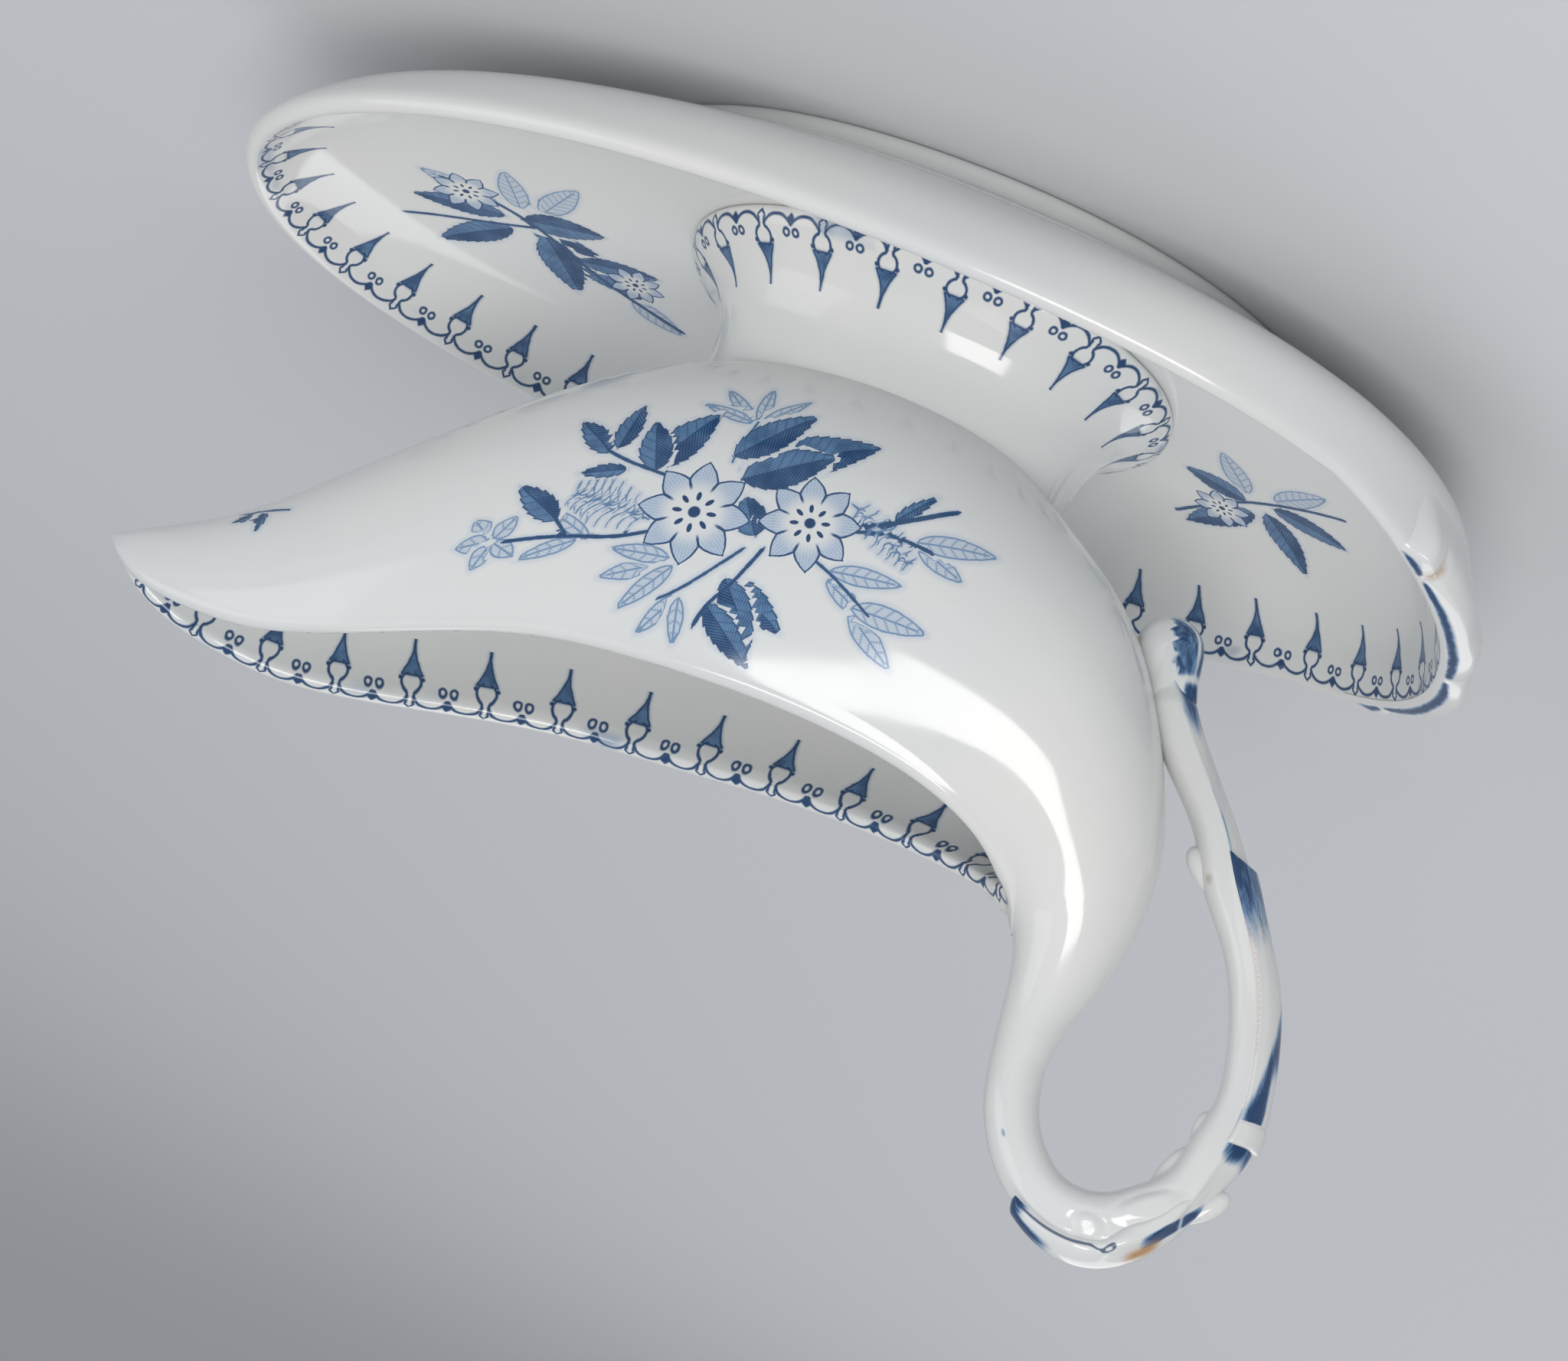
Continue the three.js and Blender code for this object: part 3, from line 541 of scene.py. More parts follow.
boat_stems += fern((-15.6, 33.6), (-28.0, 28.0), 8, 3.0, 0.5)
boat_flowers = [
    ((-10.4, 27.8), 8.3, 0.30),
    ((8.0, 23.6), 9.2, 0.12),
]
boat_spray = spray_marks(outer[:, :, 0], below_lip, boat_leaves, boat_stems, boat_flowers)
boat_marks = {}
for label, values in boat_spray.items():
    field = np.full(boat_rings.shape, unprinted)
    field[:len(values), :values.shape[1]] = values
    field[:len(values), 1 - values.shape[1]:] = values[:, :0:-1]
    boat_marks[label] = field


def put(tree, kind, **settings):
    """Adds a node to a tree and sets its properties."""
    node = tree.nodes.new(kind)
    for key, value in settings.items():
        setattr(node, key, value)
    return node


def feed(tree, socket, value):
    """Links a socket to another socket, or sets it to a constant."""
    if isinstance(value, bpy.types.NodeSocket):
        tree.links.new(value, socket)
    elif isinstance(value, tuple) and socket.type == "RGBA" and len(value) == 3:
        socket.default_value = value + (1.0,)
    else:
        socket.default_value = value


def maths(tree, operation, *values, clamp=False):
    """A math node on sockets or numbers, giving its output socket."""
    node = put(tree, "ShaderNodeMath", operation=operation, use_clamp=clamp)
    for socket, value in zip(node.inputs, values):
        feed(tree, socket, value)
    return node.outputs[0]


def joined(tree, operation, values):
    """Several values put together two by two, in order, by one math operation."""
    result = values[0]
    for value in values[1:]:
        result = maths(tree, operation, result, value)
    return result


def ramp(tree, value, low, high, start=0.0, end=1.0):
    """Smoothly from start where value is low to end where it is high."""
    node = put(tree, "ShaderNodeMapRange", interpolation_type="SMOOTHSTEP")
    for socket, number in zip(node.inputs, (value, low, high, start, end)):
        feed(tree, socket, number)
    return node.outputs[0]


def noise(tree, vector, scale, detail=2.0, roughness=0.5):
    """The value of a noise texture at a vector."""
    node = put(tree, "ShaderNodeTexNoise")
    feed(tree, node.inputs["Vector"], vector)
    node.inputs["Scale"].default_value = scale
    node.inputs["Detail"].default_value = detail
    node.inputs["Roughness"].default_value = roughness
    return node.outputs[0]


def mixed(tree, share, first, second, blend="MIX"):
    """Two colours mixed by a share."""
    node = put(tree, "ShaderNodeMix", data_type="RGBA", blend_type=blend)
    feed(tree, node.inputs[0], share)
    feed(tree, node.inputs[6], first)
    feed(tree, node.inputs[7], second)
    return node.outputs[2]


def shared_group(name, inputs, outputs):
    """A new shader node group with the named sockets, and its input and output nodes."""
    tree = bpy.data.node_groups.new(name, "ShaderNodeTree")
    for label, kind in inputs:
        tree.interface.new_socket(label, in_out="INPUT", socket_type=kind)
    for label, kind in outputs:
        tree.interface.new_socket(label, in_out="OUTPUT", socket_type=kind)
    return tree, put(tree, "NodeGroupInput"), put(tree, "NodeGroupOutput")


def spire_border_group():
    """The printed border: a row of spires on open rings, between the arcs of a scalloped edge.

    With X the distance along the edge from a spire's axis and Y the depth from the edge, both in
    millimetres, each part is a band or a disc about a line, circle or triangle in X and Y. Fine noise
    moves X and Y a little, as ink bleeds.
    """
    spire_point, spire_foot, spire_height, spire_half_width = 12.2, 6.0, 6.0, 1.75
    ring_depth, ring_radius = 4.7, 1.75
    knob_x, knob_depth = 1.95, 5.3
    arc_x, arc_depth, arc_radius, arc_end = 3.5, 4.5, 3.5, 2.7
    neck_x, neck_start, neck_end = 0.62, 1.5, 3.1
    dot_inset, dot_depth, dot_radius = 1.0, 3.7, 0.6
    bead_depth = 1.7
    print_start, print_end = 0.15, 13.0
    line_half = 0.24

    tree, inside, outside = shared_group(
        "spire_border",
        [("Map", "NodeSocketVector"), ("Pitch", "NodeSocketFloat"), ("Bleed", "NodeSocketVector")],
        [("Dark", "NodeSocketFloat"), ("Mid", "NodeSocketFloat")],
    )

    def m(operation, *values):
        return maths(tree, operation, *values)

    def most(*values):
        return joined(tree, "MAXIMUM", values)

    bleed = inside.outputs["Bleed"]
    split = put(tree, "ShaderNodeSeparateXYZ")
    feed(tree, split.inputs[0], inside.outputs["Map"])
    wobble = m("MULTIPLY", m("SUBTRACT", noise(tree, bleed, 420.0, 3.0, 0.6), 0.5), 0.45)
    turn = m("ABSOLUTE", m("SUBTRACT", m("FRACT", split.outputs[0]), 0.5))
    x = m("ADD", m("MULTIPLY", turn, inside.outputs["Pitch"]), wobble)
    y = m("ADD", split.outputs[1], m("MULTIPLY", wobble, 0.6))
    half = m("MULTIPLY", inside.outputs["Pitch"], 0.5)
    where = put(tree, "ShaderNodeCombineXYZ")
    feed(tree, where.inputs[0], x)
    feed(tree, where.inputs[1], y)

    def away(cx, cy):
        node = put(tree, "ShaderNodeVectorMath", operation="DISTANCE")
        feed(tree, node.inputs[0], where.outputs[0])
        centre = put(tree, "ShaderNodeCombineXYZ")
        feed(tree, centre.inputs[0], cx)
        feed(tree, centre.inputs[1], cy)
        feed(tree, node.inputs[1], centre.outputs[0])
        return node.outputs["Value"]

    def band(value, centre, width, soft=0.2):
        off = m("ABSOLUTE", m("SUBTRACT", value, centre))
        return ramp(tree, off, width - soft, width + soft, 1.0, 0.0)

    def window(value, low, high):
        return m("MULTIPLY", m("GREATER_THAN", value, low), m("LESS_THAN", value, high))

    height = maths(tree, "DIVIDE", m("SUBTRACT", spire_point, y), spire_height, clamp=True)
    flare = m("MULTIPLY_ADD", m("POWER", height, 1.9), spire_half_width, 0.05)
    spire = m("MAXIMUM", m("SUBTRACT", x, flare), m("SUBTRACT", spire_foot, y))
    ring = m("MULTIPLY", band(away(0.0, ring_depth), ring_radius, line_half), m("GREATER_THAN", x, 0.5))
    knob = band(away(knob_x, knob_depth), 0.0, 0.42)
    neck = m("MULTIPLY", band(x, neck_x, line_half), window(y, neck_start, neck_end))
    arc = m("MULTIPLY", band(away(arc_x, arc_depth), arc_radius, line_half), m("LESS_THAN", y, arc_end))
    dot = band(away(m("SUBTRACT", half, dot_inset), dot_depth), dot_radius, 0.22)
    bead_x, bead_y = m("SUBTRACT", x, half), m("SUBTRACT", y, bead_depth)
    diamond = m("ADD", m("ABSOLUTE", bead_x), m("ABSOLUTE", bead_y))
    bead = ramp(tree, diamond, 0.7, 1.25, 1.0, 0.0)
    vee = m("MULTIPLY", band(m("SUBTRACT", y, x), 0.6, 0.26), m("LESS_THAN", x, 0.95))
    printed = window(y, print_start, print_end)
    fill = ramp(tree, spire, -0.12, 0.16, 1.0, 0.0)
    mottle = ramp(tree, noise(tree, bleed, 300.0, 2.0), 0.3, 0.7, 0.25, 0.85)
    shaded = m("MULTIPLY", fill, mottle)
    dark = most(band(spire, 0.0, 0.22), shaded, ring, knob, neck, arc, dot, bead, vee)
    flood = ramp(tree, noise(tree, bleed, 75.0, 2.0), 0.54, 0.68)
    pool = m("MULTIPLY", flood, ramp(tree, y, 2.0, 4.0, 0.6, 0.0))
    soft_edge = ramp(tree, m("ABSOLUTE", spire), 0.0, 0.9, 0.5, 0.0)
    mid = most(fill, pool, soft_edge, m("MULTIPLY", dark, 0.9))
    feed(tree, outside.inputs["Dark"], m("MULTIPLY", dark, printed))
    feed(tree, outside.inputs["Mid"], m("MULTIPLY", mid, printed))
    return tree


cool_glaze = (0.690, 0.705, 0.705)
warm_glaze = (0.735, 0.735, 0.715)
speck_brown = (0.30, 0.20, 0.12)


def glaze_group():
    """The clear, faintly blue glaze over earthenware: its colour, its roughness and its height.

    The colour drifts a little with low noise and has rare brown specks. The height is a slow ripple
    with a few pinholes.
    """
    tree, inside, outside = shared_group(
        "clear_glaze",
        [("Where", "NodeSocketVector")],
        [("Color", "NodeSocketColor"), ("Roughness", "NodeSocketFloat"), ("Height", "NodeSocketFloat")],
    )
    where = inside.outputs["Where"]
    drift = noise(tree, where, 14.0, 3.0)
    tone = mixed(tree, ramp(tree, drift, 0.3, 0.7), cool_glaze, warm_glaze)
    cells = put(tree, "ShaderNodeTexVoronoi", feature="F1")
    feed(tree, cells.inputs["Vector"], where)
    cells.inputs["Scale"].default_value = 62.0
    chance = put(tree, "ShaderNodeSeparateXYZ")
    feed(tree, chance.inputs[0], cells.outputs["Color"])
    rare = maths(tree, "GREATER_THAN", chance.outputs[0], 0.93)
    speck = maths(tree, "MULTIPLY", ramp(tree, cells.outputs["Distance"], 0.012, 0.03, 1.0, 0.0), rare)
    tone = mixed(tree, maths(tree, "MULTIPLY", speck, 0.55), tone, speck_brown)
    feed(tree, outside.inputs["Color"], tone)
    feed(tree, outside.inputs["Roughness"], ramp(tree, noise(tree, where, 90.0), 0.2, 0.8, 0.07, 0.14))
    ripple = noise(tree, where, 38.0, 2.0)
    pinholes = maths(tree, "MULTIPLY", speck, -0.25)
    feed(tree, outside.inputs["Height"], maths(tree, "ADD", ripple, pinholes))
    return tree


tooth_pitch = 1.7
tooth_depth = 0.34
petals = 8


def print_group():
    """Draws leaves, stems and flowers from where a point lies within them, as three shares of ink.

    A leaf has an edge line, a rib and slanting veins. A dark one is filled, darker on one side,
    hatched, and toothed: its edge moves out and back along each tooth by a falling ramp. A flower has
    eight petals, each reaching min(0.4 t, 0.27 (1 - c^2.2)^0.9) across at t radii from the centre, c
    running from 0 to 1 over t from 0.45 to 1. Seeds stand round a central dot. A faint wash of pale
    ink surrounds the leaves and stems.
    """
    tree, inside, outside = shared_group(
        "printed_spray",
        [("Leaf", "NodeSocketVector"), ("Kind", "NodeSocketVector"), ("Stem", "NodeSocketVector"),
         ("Bloom", "NodeSocketVector"), ("Where", "NodeSocketVector")],
        [("Dark", "NodeSocketFloat"), ("Mid", "NodeSocketFloat"), ("Pale", "NodeSocketFloat")],
    )

    def m(operation, *values):
        return maths(tree, operation, *values)

    def times(*values):
        return joined(tree, "MULTIPLY", values)

    def most(*values):
        return joined(tree, "MAXIMUM", values)

    def parts(label):
        node = put(tree, "ShaderNodeSeparateXYZ")
        feed(tree, node.inputs[0], inside.outputs[label])
        return node.outputs

    def waves(value, pitch):
        return m("MULTIPLY_ADD", m("COSINE", m("MULTIPLY", value, 2 * np.pi / pitch)), 0.5, 0.5)

    where = inside.outputs["Where"]
    wobble = m("MULTIPLY", m("SUBTRACT", noise(tree, where, 700.0, 2.0, 0.6), 0.5), 0.30)
    grain = m("SUBTRACT", noise(tree, where, 2600.0, 1.0), 0.5)
    blotch = noise(tree, where, 260.0, 2.0)

    share, across, edge = parts("Leaf")
    pale, length, flower = parts("Kind")
    edge = m("ADD", edge, wobble)
    apart = m("ABSOLUTE", across)
    run = m("MULTIPLY", share, length)
    solid = m("SUBTRACT", 1.0, pale)
    tooth = m("MULTIPLY", m("SUBTRACT", 0.5, m("FRACT", m("DIVIDE", run, tooth_pitch))), tooth_depth)
    edge = m("ADD", edge, m("MULTIPLY", tooth, solid))
    fill = ramp(tree, edge, -0.14, 0.08, 1.0, 0.0)
    rib = times(ramp(tree, apart, 0.06, 0.26, 1.0, 0.0), ramp(tree, share, 0.86, 0.94, 1.0, 0.0))
    slant = m("SUBTRACT", run, m("MULTIPLY", apart, 0.8))
    vein = m("POWER", waves(slant, 1.9), 7.0)
    outline = ramp(tree, m("ABSOLUTE", m("ADD", edge, 0.10)), 0.08, 0.24, 1.0, 0.0)
    strokes = most(outline, times(fill, most(rib, m("MULTIPLY", vein, 0.7))))
    hatch = waves(m("ADD", run, apart), 0.62)
    tone = m("ADD", m("MULTIPLY", blotch, 0.75), m("MULTIPLY", m("GREATER_THAN", across, 0.0), 0.30))
    tone = m("ADD", tone, m("MULTIPLY_ADD", hatch, 0.30, -0.18))
    shaded = times(fill, ramp(tree, tone, 0.12, 0.80))
    leaf_dark = times(solid, most(shaded, m("MULTIPLY", strokes, 0.85)))
    leaf_mid = most(times(solid, fill), times(pale, strokes, 0.85))
    leaf_pale = times(pale, fill, m("MULTIPLY_ADD", hatch, 0.3, 0.35))

    near, beside, half = parts("Stem")
    line = m("ADD", m("ABSOLUTE", beside), wobble)
    line = ramp(tree, m("SUBTRACT", line, half), -0.12, 0.12, 1.0, 0.0)
    line = times(line, m("LESS_THAN", near, m("ADD", half, 0.3)), m("LESS_THAN", near, 2.0))
    bold = ramp(tree, half, 0.12, 0.30, 0.15, 0.85)

    dx, dy, radius = parts("Bloom")
    out = m("SQRT", m("ADD", m("MULTIPLY", dx, dx), m("MULTIPLY", dy, dy)))
    sector = m("MULTIPLY_ADD", m("ARCTAN2", dy, dx), petals / (2 * np.pi), 0.5)
    local = m("MULTIPLY", m("SUBTRACT", m("FRACT", sector), 0.5), 2 * np.pi / petals)
    t = m("MULTIPLY", out, m("COSINE", local))
    a = m("ABSOLUTE", m("MULTIPLY", out, m("SINE", local)))
    c = maths(tree, "DIVIDE", m("SUBTRACT", t, 0.45), 0.55, clamp=True)
    reach = m("MULTIPLY", m("POWER", m("SUBTRACT", 1.0, m("POWER", c, 2.2)), 0.9), 0.27)
    reach = m("MINIMUM", m("MULTIPLY", t, 0.4), reach)
    petal = m("MAXIMUM", m("SUBTRACT", a, reach), m("SUBTRACT", t, 1.0))
    petal = m("ADD", m("MULTIPLY", petal, radius), wobble)
    within = m("LESS_THAN", flower, 1.03)
    bloom = ramp(tree, petal, -0.02, 0.10, 1.0, 0.0)
    bloom = times(most(bloom, m("LESS_THAN", out, 0.45)), within)
    petal_line = ramp(tree, m("ABSOLUTE", petal), 0.08, 0.26, 1.0, 0.0)
    petal_line = times(petal_line, ramp(tree, out, 0.42, 0.56), within)
    threads = m("MULTIPLY_ADD", waves(m("MULTIPLY", a, radius), 0.52), 0.45, 0.4)
    threads = m("ADD", threads, m("MULTIPLY", grain, 0.5))
    shade = times(ramp(tree, out, 0.36, 0.74, 0.0, 1.0), m("MULTIPLY_ADD", threads, 0.75, 0.22))
    seed_t = m("DIVIDE", m("SUBTRACT", t, 0.31), 0.085)
    seed_a = m("DIVIDE", a, 0.042)
    seed = m("ADD", m("MULTIPLY", seed_t, seed_t), m("MULTIPLY", seed_a, seed_a))
    seed = most(ramp(tree, seed, 0.7, 1.4, 1.0, 0.0), ramp(tree, out, 0.09, 0.125, 1.0, 0.0))
    seed = times(seed, within)

    behind = m("SUBTRACT", 1.0, bloom)
    dark = most(times(most(leaf_dark, times(line, bold)), behind), times(petal_line, 0.9), seed)
    mid = most(times(most(leaf_mid, line), behind), petal_line, seed)
    halo = most(ramp(tree, edge, 0.0, 1.3, 0.30, 0.0), ramp(tree, near, 0.3, 1.2, 0.38, 0.0))
    wash = most(times(most(halo, leaf_pale), behind), times(bloom, shade))
    feed(tree, outside.inputs["Dark"], dark)
    feed(tree, outside.inputs["Mid"], mid)
    feed(tree, outside.inputs["Pale"], wash)
    return tree


border_group = spire_border_group()
clear_glaze = glaze_group()
spray_group = print_group()
dark_ink = (0.008, 0.044, 0.132)
mid_ink = (0.056, 0.182, 0.37)
pale_ink = (0.19, 0.335, 0.55)
rust = (0.46, 0.22, 0.05)
stain_brown = (0.40, 0.25, 0.12)


def inked(tree, colour, cover, strength, ink):
    """A colour with ink over it, where the cover and the strength multiplied give the ink's share."""
    return mixed(tree, maths(tree, "MULTIPLY", cover, strength, clamp=True), colour, ink)


def glazed(name, pitch=0.0, sprays=False, brushed=False, stains=()):
    """A material of glazed earthenware with its decoration under the glaze.

    A pitch in millimetres adds the spire border from the print map, sprays adds the printed flowers
    from their stored places, and brushed adds cobalt strokes from the stored ink: its cover, broken up
    by streaks, its fine lines and its rust. Stains are (x, y, z, radius, strength) in metres.
    """
    material = bpy.data.materials.new(name)
    material.use_nodes = True
    tree = material.node_tree
    surface = tree.nodes["Principled BSDF"]
    where = put(tree, "ShaderNodeTexCoord").outputs["Object"]
    body = put(tree, "ShaderNodeGroup", node_tree=clear_glaze)
    feed(tree, body.inputs["Where"], where)
    colour = body.outputs["Color"]
    if sprays:
        spray_node = put(tree, "ShaderNodeGroup", node_tree=spray_group)
        for socket, label in (("Leaf", "leaf_place"), ("Kind", "leaf_kind"), ("Stem", "stem_place"),
                              ("Bloom", "bloom_place")):
            stored = put(tree, "ShaderNodeAttribute", attribute_name=label)
            feed(tree, spray_node.inputs[socket], stored.outputs["Vector"])
        feed(tree, spray_node.inputs["Where"], where)
        colour = inked(tree, colour, spray_node.outputs["Pale"], 0.78, pale_ink)
        colour = inked(tree, colour, spray_node.outputs["Mid"], 0.88, mid_ink)
        colour = inked(tree, colour, spray_node.outputs["Dark"], 0.96, dark_ink)
    if pitch:
        chart = put(tree, "ShaderNodeUVMap", uv_map="print_map")
        border = put(tree, "ShaderNodeGroup", node_tree=border_group)
        feed(tree, border.inputs["Map"], chart.outputs[0])
        feed(tree, border.inputs["Pitch"], pitch)
        feed(tree, border.inputs["Bleed"], where)
        colour = inked(tree, colour, border.outputs["Mid"], 0.88, mid_ink)
        colour = inked(tree, colour, border.outputs["Dark"], 0.95, dark_ink)
    if brushed:
        stored = put(tree, "ShaderNodeAttribute", attribute_name="ink")
        split = put(tree, "ShaderNodeSeparateXYZ")
        feed(tree, split.inputs[0], stored.outputs["Vector"])
        cover, lines, rusty = split.outputs
        chart = put(tree, "ShaderNodeUVMap", uv_map="print_map")
        streak = maths(tree, "SUBTRACT", noise(tree, chart.outputs[0], 1.0, 3.0, 0.65), 0.5)
        light_cover = maths(tree, "MULTIPLY_ADD", streak, 0.5, cover)
        heavy_cover = maths(tree, "MULTIPLY_ADD", streak, 1.1, cover)
        colour = inked(tree, colour, ramp(tree, light_cover, 0.12, 0.6), 0.88, mid_ink)
        colour = inked(tree, colour, ramp(tree, heavy_cover, 0.42, 0.85), 0.97, dark_ink)
        colour = inked(tree, colour, ramp(tree, lines, 0.3, 0.7), 0.85, dark_ink)
        colour = inked(tree, colour, rusty, 0.8, rust)
    for x, y, z, radius, strength in stains:
        spot = put(tree, "ShaderNodeVectorMath", operation="DISTANCE")
        feed(tree, spot.inputs[0], where)
        spot.inputs[1].default_value = (x, y, z)
        rough = noise(tree, where, 300.0, 3.0)
        ragged = maths(tree, "MULTIPLY_ADD", rough, radius * 0.9, spot.outputs["Value"])
        mask = ramp(tree, ragged, radius * 0.5, radius * 1.5, strength, 0.0)
        colour = mixed(tree, mask, colour, stain_brown)
    feed(tree, surface.inputs["Base Color"], colour)
    feed(tree, surface.inputs["Roughness"], body.outputs["Roughness"])
    surface.inputs["IOR"].default_value = 1.5
    bump = put(tree, "ShaderNodeBump")
    bump.inputs["Strength"].default_value = 0.1
    bump.inputs["Distance"].default_value = 0.0006
    feed(tree, bump.inputs["Height"], body.outputs["Height"])
    feed(tree, surface.inputs["Normal"], bump.outputs["Normal"])
    return material


def mount(piece, node):
    """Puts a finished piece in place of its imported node, riding the fixed body."""
    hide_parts(node)
    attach(piece, "root")


boat_glaze = glazed("boat_glaze", pitch=rim_length / boat_repeats, sprays=True)
boat = grid_piece("boat", boat_rings, boat_glaze, uv=boat_uv, marks=boat_marks)
mount(boat, "boat_bowl")


# Dish.
# The oval stand under the boat, thrown and pressed to one wall with a rolled lip, whose handle end
# sweeps up. The border runs round inside the lip and a spray lies at each end of the floor.

# A row of the profile is one ring. They run from the opening under the pedestal out beneath the dish,
# over the lip and back in. A row holds x of the ring's middle, its reach to the spout end and to the
# handle end, its half width, its height, its share of the lift, and its power at the handle half.
dish_profile = [
    (-9.5, 37.6, 37.6, 28.6, 5.2, 0, 2.1),
    (-10.5, 52.0, 52.0, 39.5, 5.2, 0, 2.1),
    (-11.5, 68.0, 68.0, 52.4, 5.4, 0, 2.1),
    (-9.5, 84.5, 83.0, 58.2, 8.0, 0, 2.35),
    (-8.0, 105.0, 98.0, 63.2, 12.2, 0.1, 2.45),
    (-5.0, 113.0, 107.0, 66.6, 17.0, 0.3, 2.4),
    (-2.0, 115.78, 112.6, 68.4, 22.0, 0.6, 2.3),
    (0, 115.78, 115.8, 68.99, 25.4, 0.9, 2.25),
    (0, 115.3, 115.3, 68.5, 26.9, 1, 2.25),
    (0, 113.8, 113.8, 67.0, 27.6, 1, 2.25),
    (0, 112.4, 112.4, 65.6, 26.8, 1, 2.25),
    (-0.5, 110.3, 109.6, 64.2, 24.0, 0.7, 2.25),
    (-2.0, 106.5, 104.6, 61.2, 19.8, 0.4, 2.3),
    (-4.5, 98.0, 93.6, 57.2, 15.8, 0.15, 2.3),
    (-7.0, 82.0, 78.0, 51.5, 12.4, 0, 2.3),
    (-8.5, 62.0, 60.0, 43.0, 10.3, 0, 2.2),
    (-9.5, 47.0, 47.0, 37.0, 9.7, 0, 2.1),
    (-9.5, 37.6, 37.6, 28.6, 9.7, 0, 2.1),
]
dish_half_length = 115.8
dish_half_width = 69.0
lip_crest = 9
dish_rows = np.array(dish_profile, float)
dish_steps = np.hypot(np.diff(dish_rows[:, 3]), np.diff(dish_rows[:, 4]))
dish_knots = np.concatenate([[0], np.cumsum(dish_steps ** 0.7)])


def signed_power(values, power):
    """The size of each value to a power, with the value's own sign."""
    return np.sign(values) * np.abs(values) ** power


def dish_rings(places, angles):
    """Points of the dish where profile places, in knot lengths, meet ring angles.

    A ring is a superellipse whose exponent changes from 2.06 at the spout half to the row's own at the
    handle half. Its height adds the lift share of 1.2 cos 2a and of the handle end's sweep, which is
    7 ((-x/115.8 - 0.74)/0.26)^1.15 where that is positive.
    """
    columns = through_rows(dish_rows, places, dish_knots).T[:, :, None]
    centre, spout, handle, width, height, lift, power = columns
    c, s = np.cos(angles), np.sin(angles)
    exponent = 2 / (2.06 + (power - 2.06) * smooth_step(0, 0.5, -c))
    x = centre + np.where(c < 0, handle, spout) * signed_power(c, exponent)
    y = width * signed_power(s, exponent)
    sweep = np.clip((-x / dish_half_length - 0.74) / 0.26, 0, None) ** 1.15
    return np.stack([x, y, height + lift * (1.2 * np.cos(2 * angles) + 7.0 * sweep)], axis=2)


def even_angles(line, columns):
    """Ring angles whose points on a closed line, which is given at fine_angles, are evenly spaced."""
    run = run_along(line)
    return np.interp(np.arange(columns) / columns * run[-1], run, fine_angles)


def ring_map(points, printed, line, repeats, line_depth):
    """The border map of a grid whose columns are rings: its last column closes the last repeat.

    On the printed rows u counts repeats along the nearest stretch of the line and v is the distance
    from the line less its own depth within the border.
    """
    along, away = measured_from(points[printed], line)
    print_map = np.zeros((points.shape[0], points.shape[1] + 1, 2))
    print_map[..., 1] = off_border
    print_map[printed, :-1, 0] = along / run_along(line)[-1] * repeats
    print_map[printed, :-1, 1] = away - line_depth
    print_map[:, -1] = print_map[:, 0]
    print_map[:, -1, 0] = repeats
    return print_map


fine_angles = np.linspace(0, 2 * np.pi, 7201)
crest_line = dish_rings(dish_knots[[lip_crest]], fine_angles)[0]
dish_repeats = 45
lip_start, lip_end = dish_knots[lip_crest - 3], dish_knots[lip_crest + 2]
under_places = np.linspace(0, lip_start, 26)
lip_places = np.linspace(lip_start, lip_end, 34)[1:]
floor_places = np.linspace(lip_end, dish_knots[-1], 74)[1:]
dish_places = np.concatenate([under_places, lip_places, floor_places])
dish_points = dish_rings(dish_places, even_angles(crest_line, 576))
dish_uv = ring_map(dish_points, dish_places >= dish_knots[lip_crest], crest_line, dish_repeats, 0.8)

# The sprays on the floor of the dish, at x and y.
dish_leaves = [
    ((66.0, 8.0), (58.0, -6.0), 2.8, 1),
    ((70.0, 8.0), (72.0, -6.0), 2.6, 1),
    ((74.0, 9.0), (88.0, 0.0), 2.6, 1),
    ((50.0, 31.0), (40.0, 38.0), 2.2, 1),
    ((-70.0, 14.0), (-64.0, 2.0), 2.4, 1),
    ((-75.0, 12.0), (-84.0, 0.0), 2.4, 1),
    ((68.0, 14.0), (48.0, 30.0), 4.6, 0),
    ((66.0, 16.0), (60.0, 33.0), 3.8, 0),
    ((70.0, 12.0), (54.0, 10.0), 3.6, 0),
    ((72.0, 16.0), (86.0, 24.0), 3.2, 0),
    ((73.0, 12.0), (90.0, 10.0), 2.8, 0),
    ((60.0, 22.0), (44.0, 20.0), 2.6, 0),
    ((-72.0, 20.0), (-60.0, 34.0), 3.0, 0),
    ((-74.0, 18.0), (-84.0, 30.0), 3.0, 0),
    ((-70.0, 17.0), (-58.0, 14.0), 2.8, 0),
    ((-75.0, 15.0), (-90.0, 14.0), 2.6, 0),
]
dish_stems = [
    ([(40.0, 37.0), (56.0, 26.0), (68.0, 13.0), (84.0, 2.0)], 0.42),
    ([(68.0, 14.0), (78.0, 16.0), (92.0, 17.0)], 0.36),
    ([(-58.0, 32.0), (-66.0, 22.0), (-73.0, 15.0), (-88.0, 4.0)], 0.4),
]
dish_flowers = [
    ((49.0, 25.0), 5.6, 0.2),
    ((80.0, 6.0), 6.4, 0.5),
    ((-66.0, 24.0), 5.6, 0.4),
]
top_side = dish_places > dish_knots[lip_crest + 1]
dish_top = dish_points[top_side]
dish_spray = spray_marks(dish_top[..., 0], dish_top[..., 1], dish_leaves, dish_stems, dish_flowers)
dish_marks = {}
for label, values in dish_spray.items():
    dish_marks[label] = np.full(dish_points.shape, unprinted)
    dish_marks[label][top_side] = values
dish_pitch = run_along(crest_line)[-1] / dish_repeats
dish_glaze = glazed("dish_glaze", pitch=dish_pitch, sprays=True)
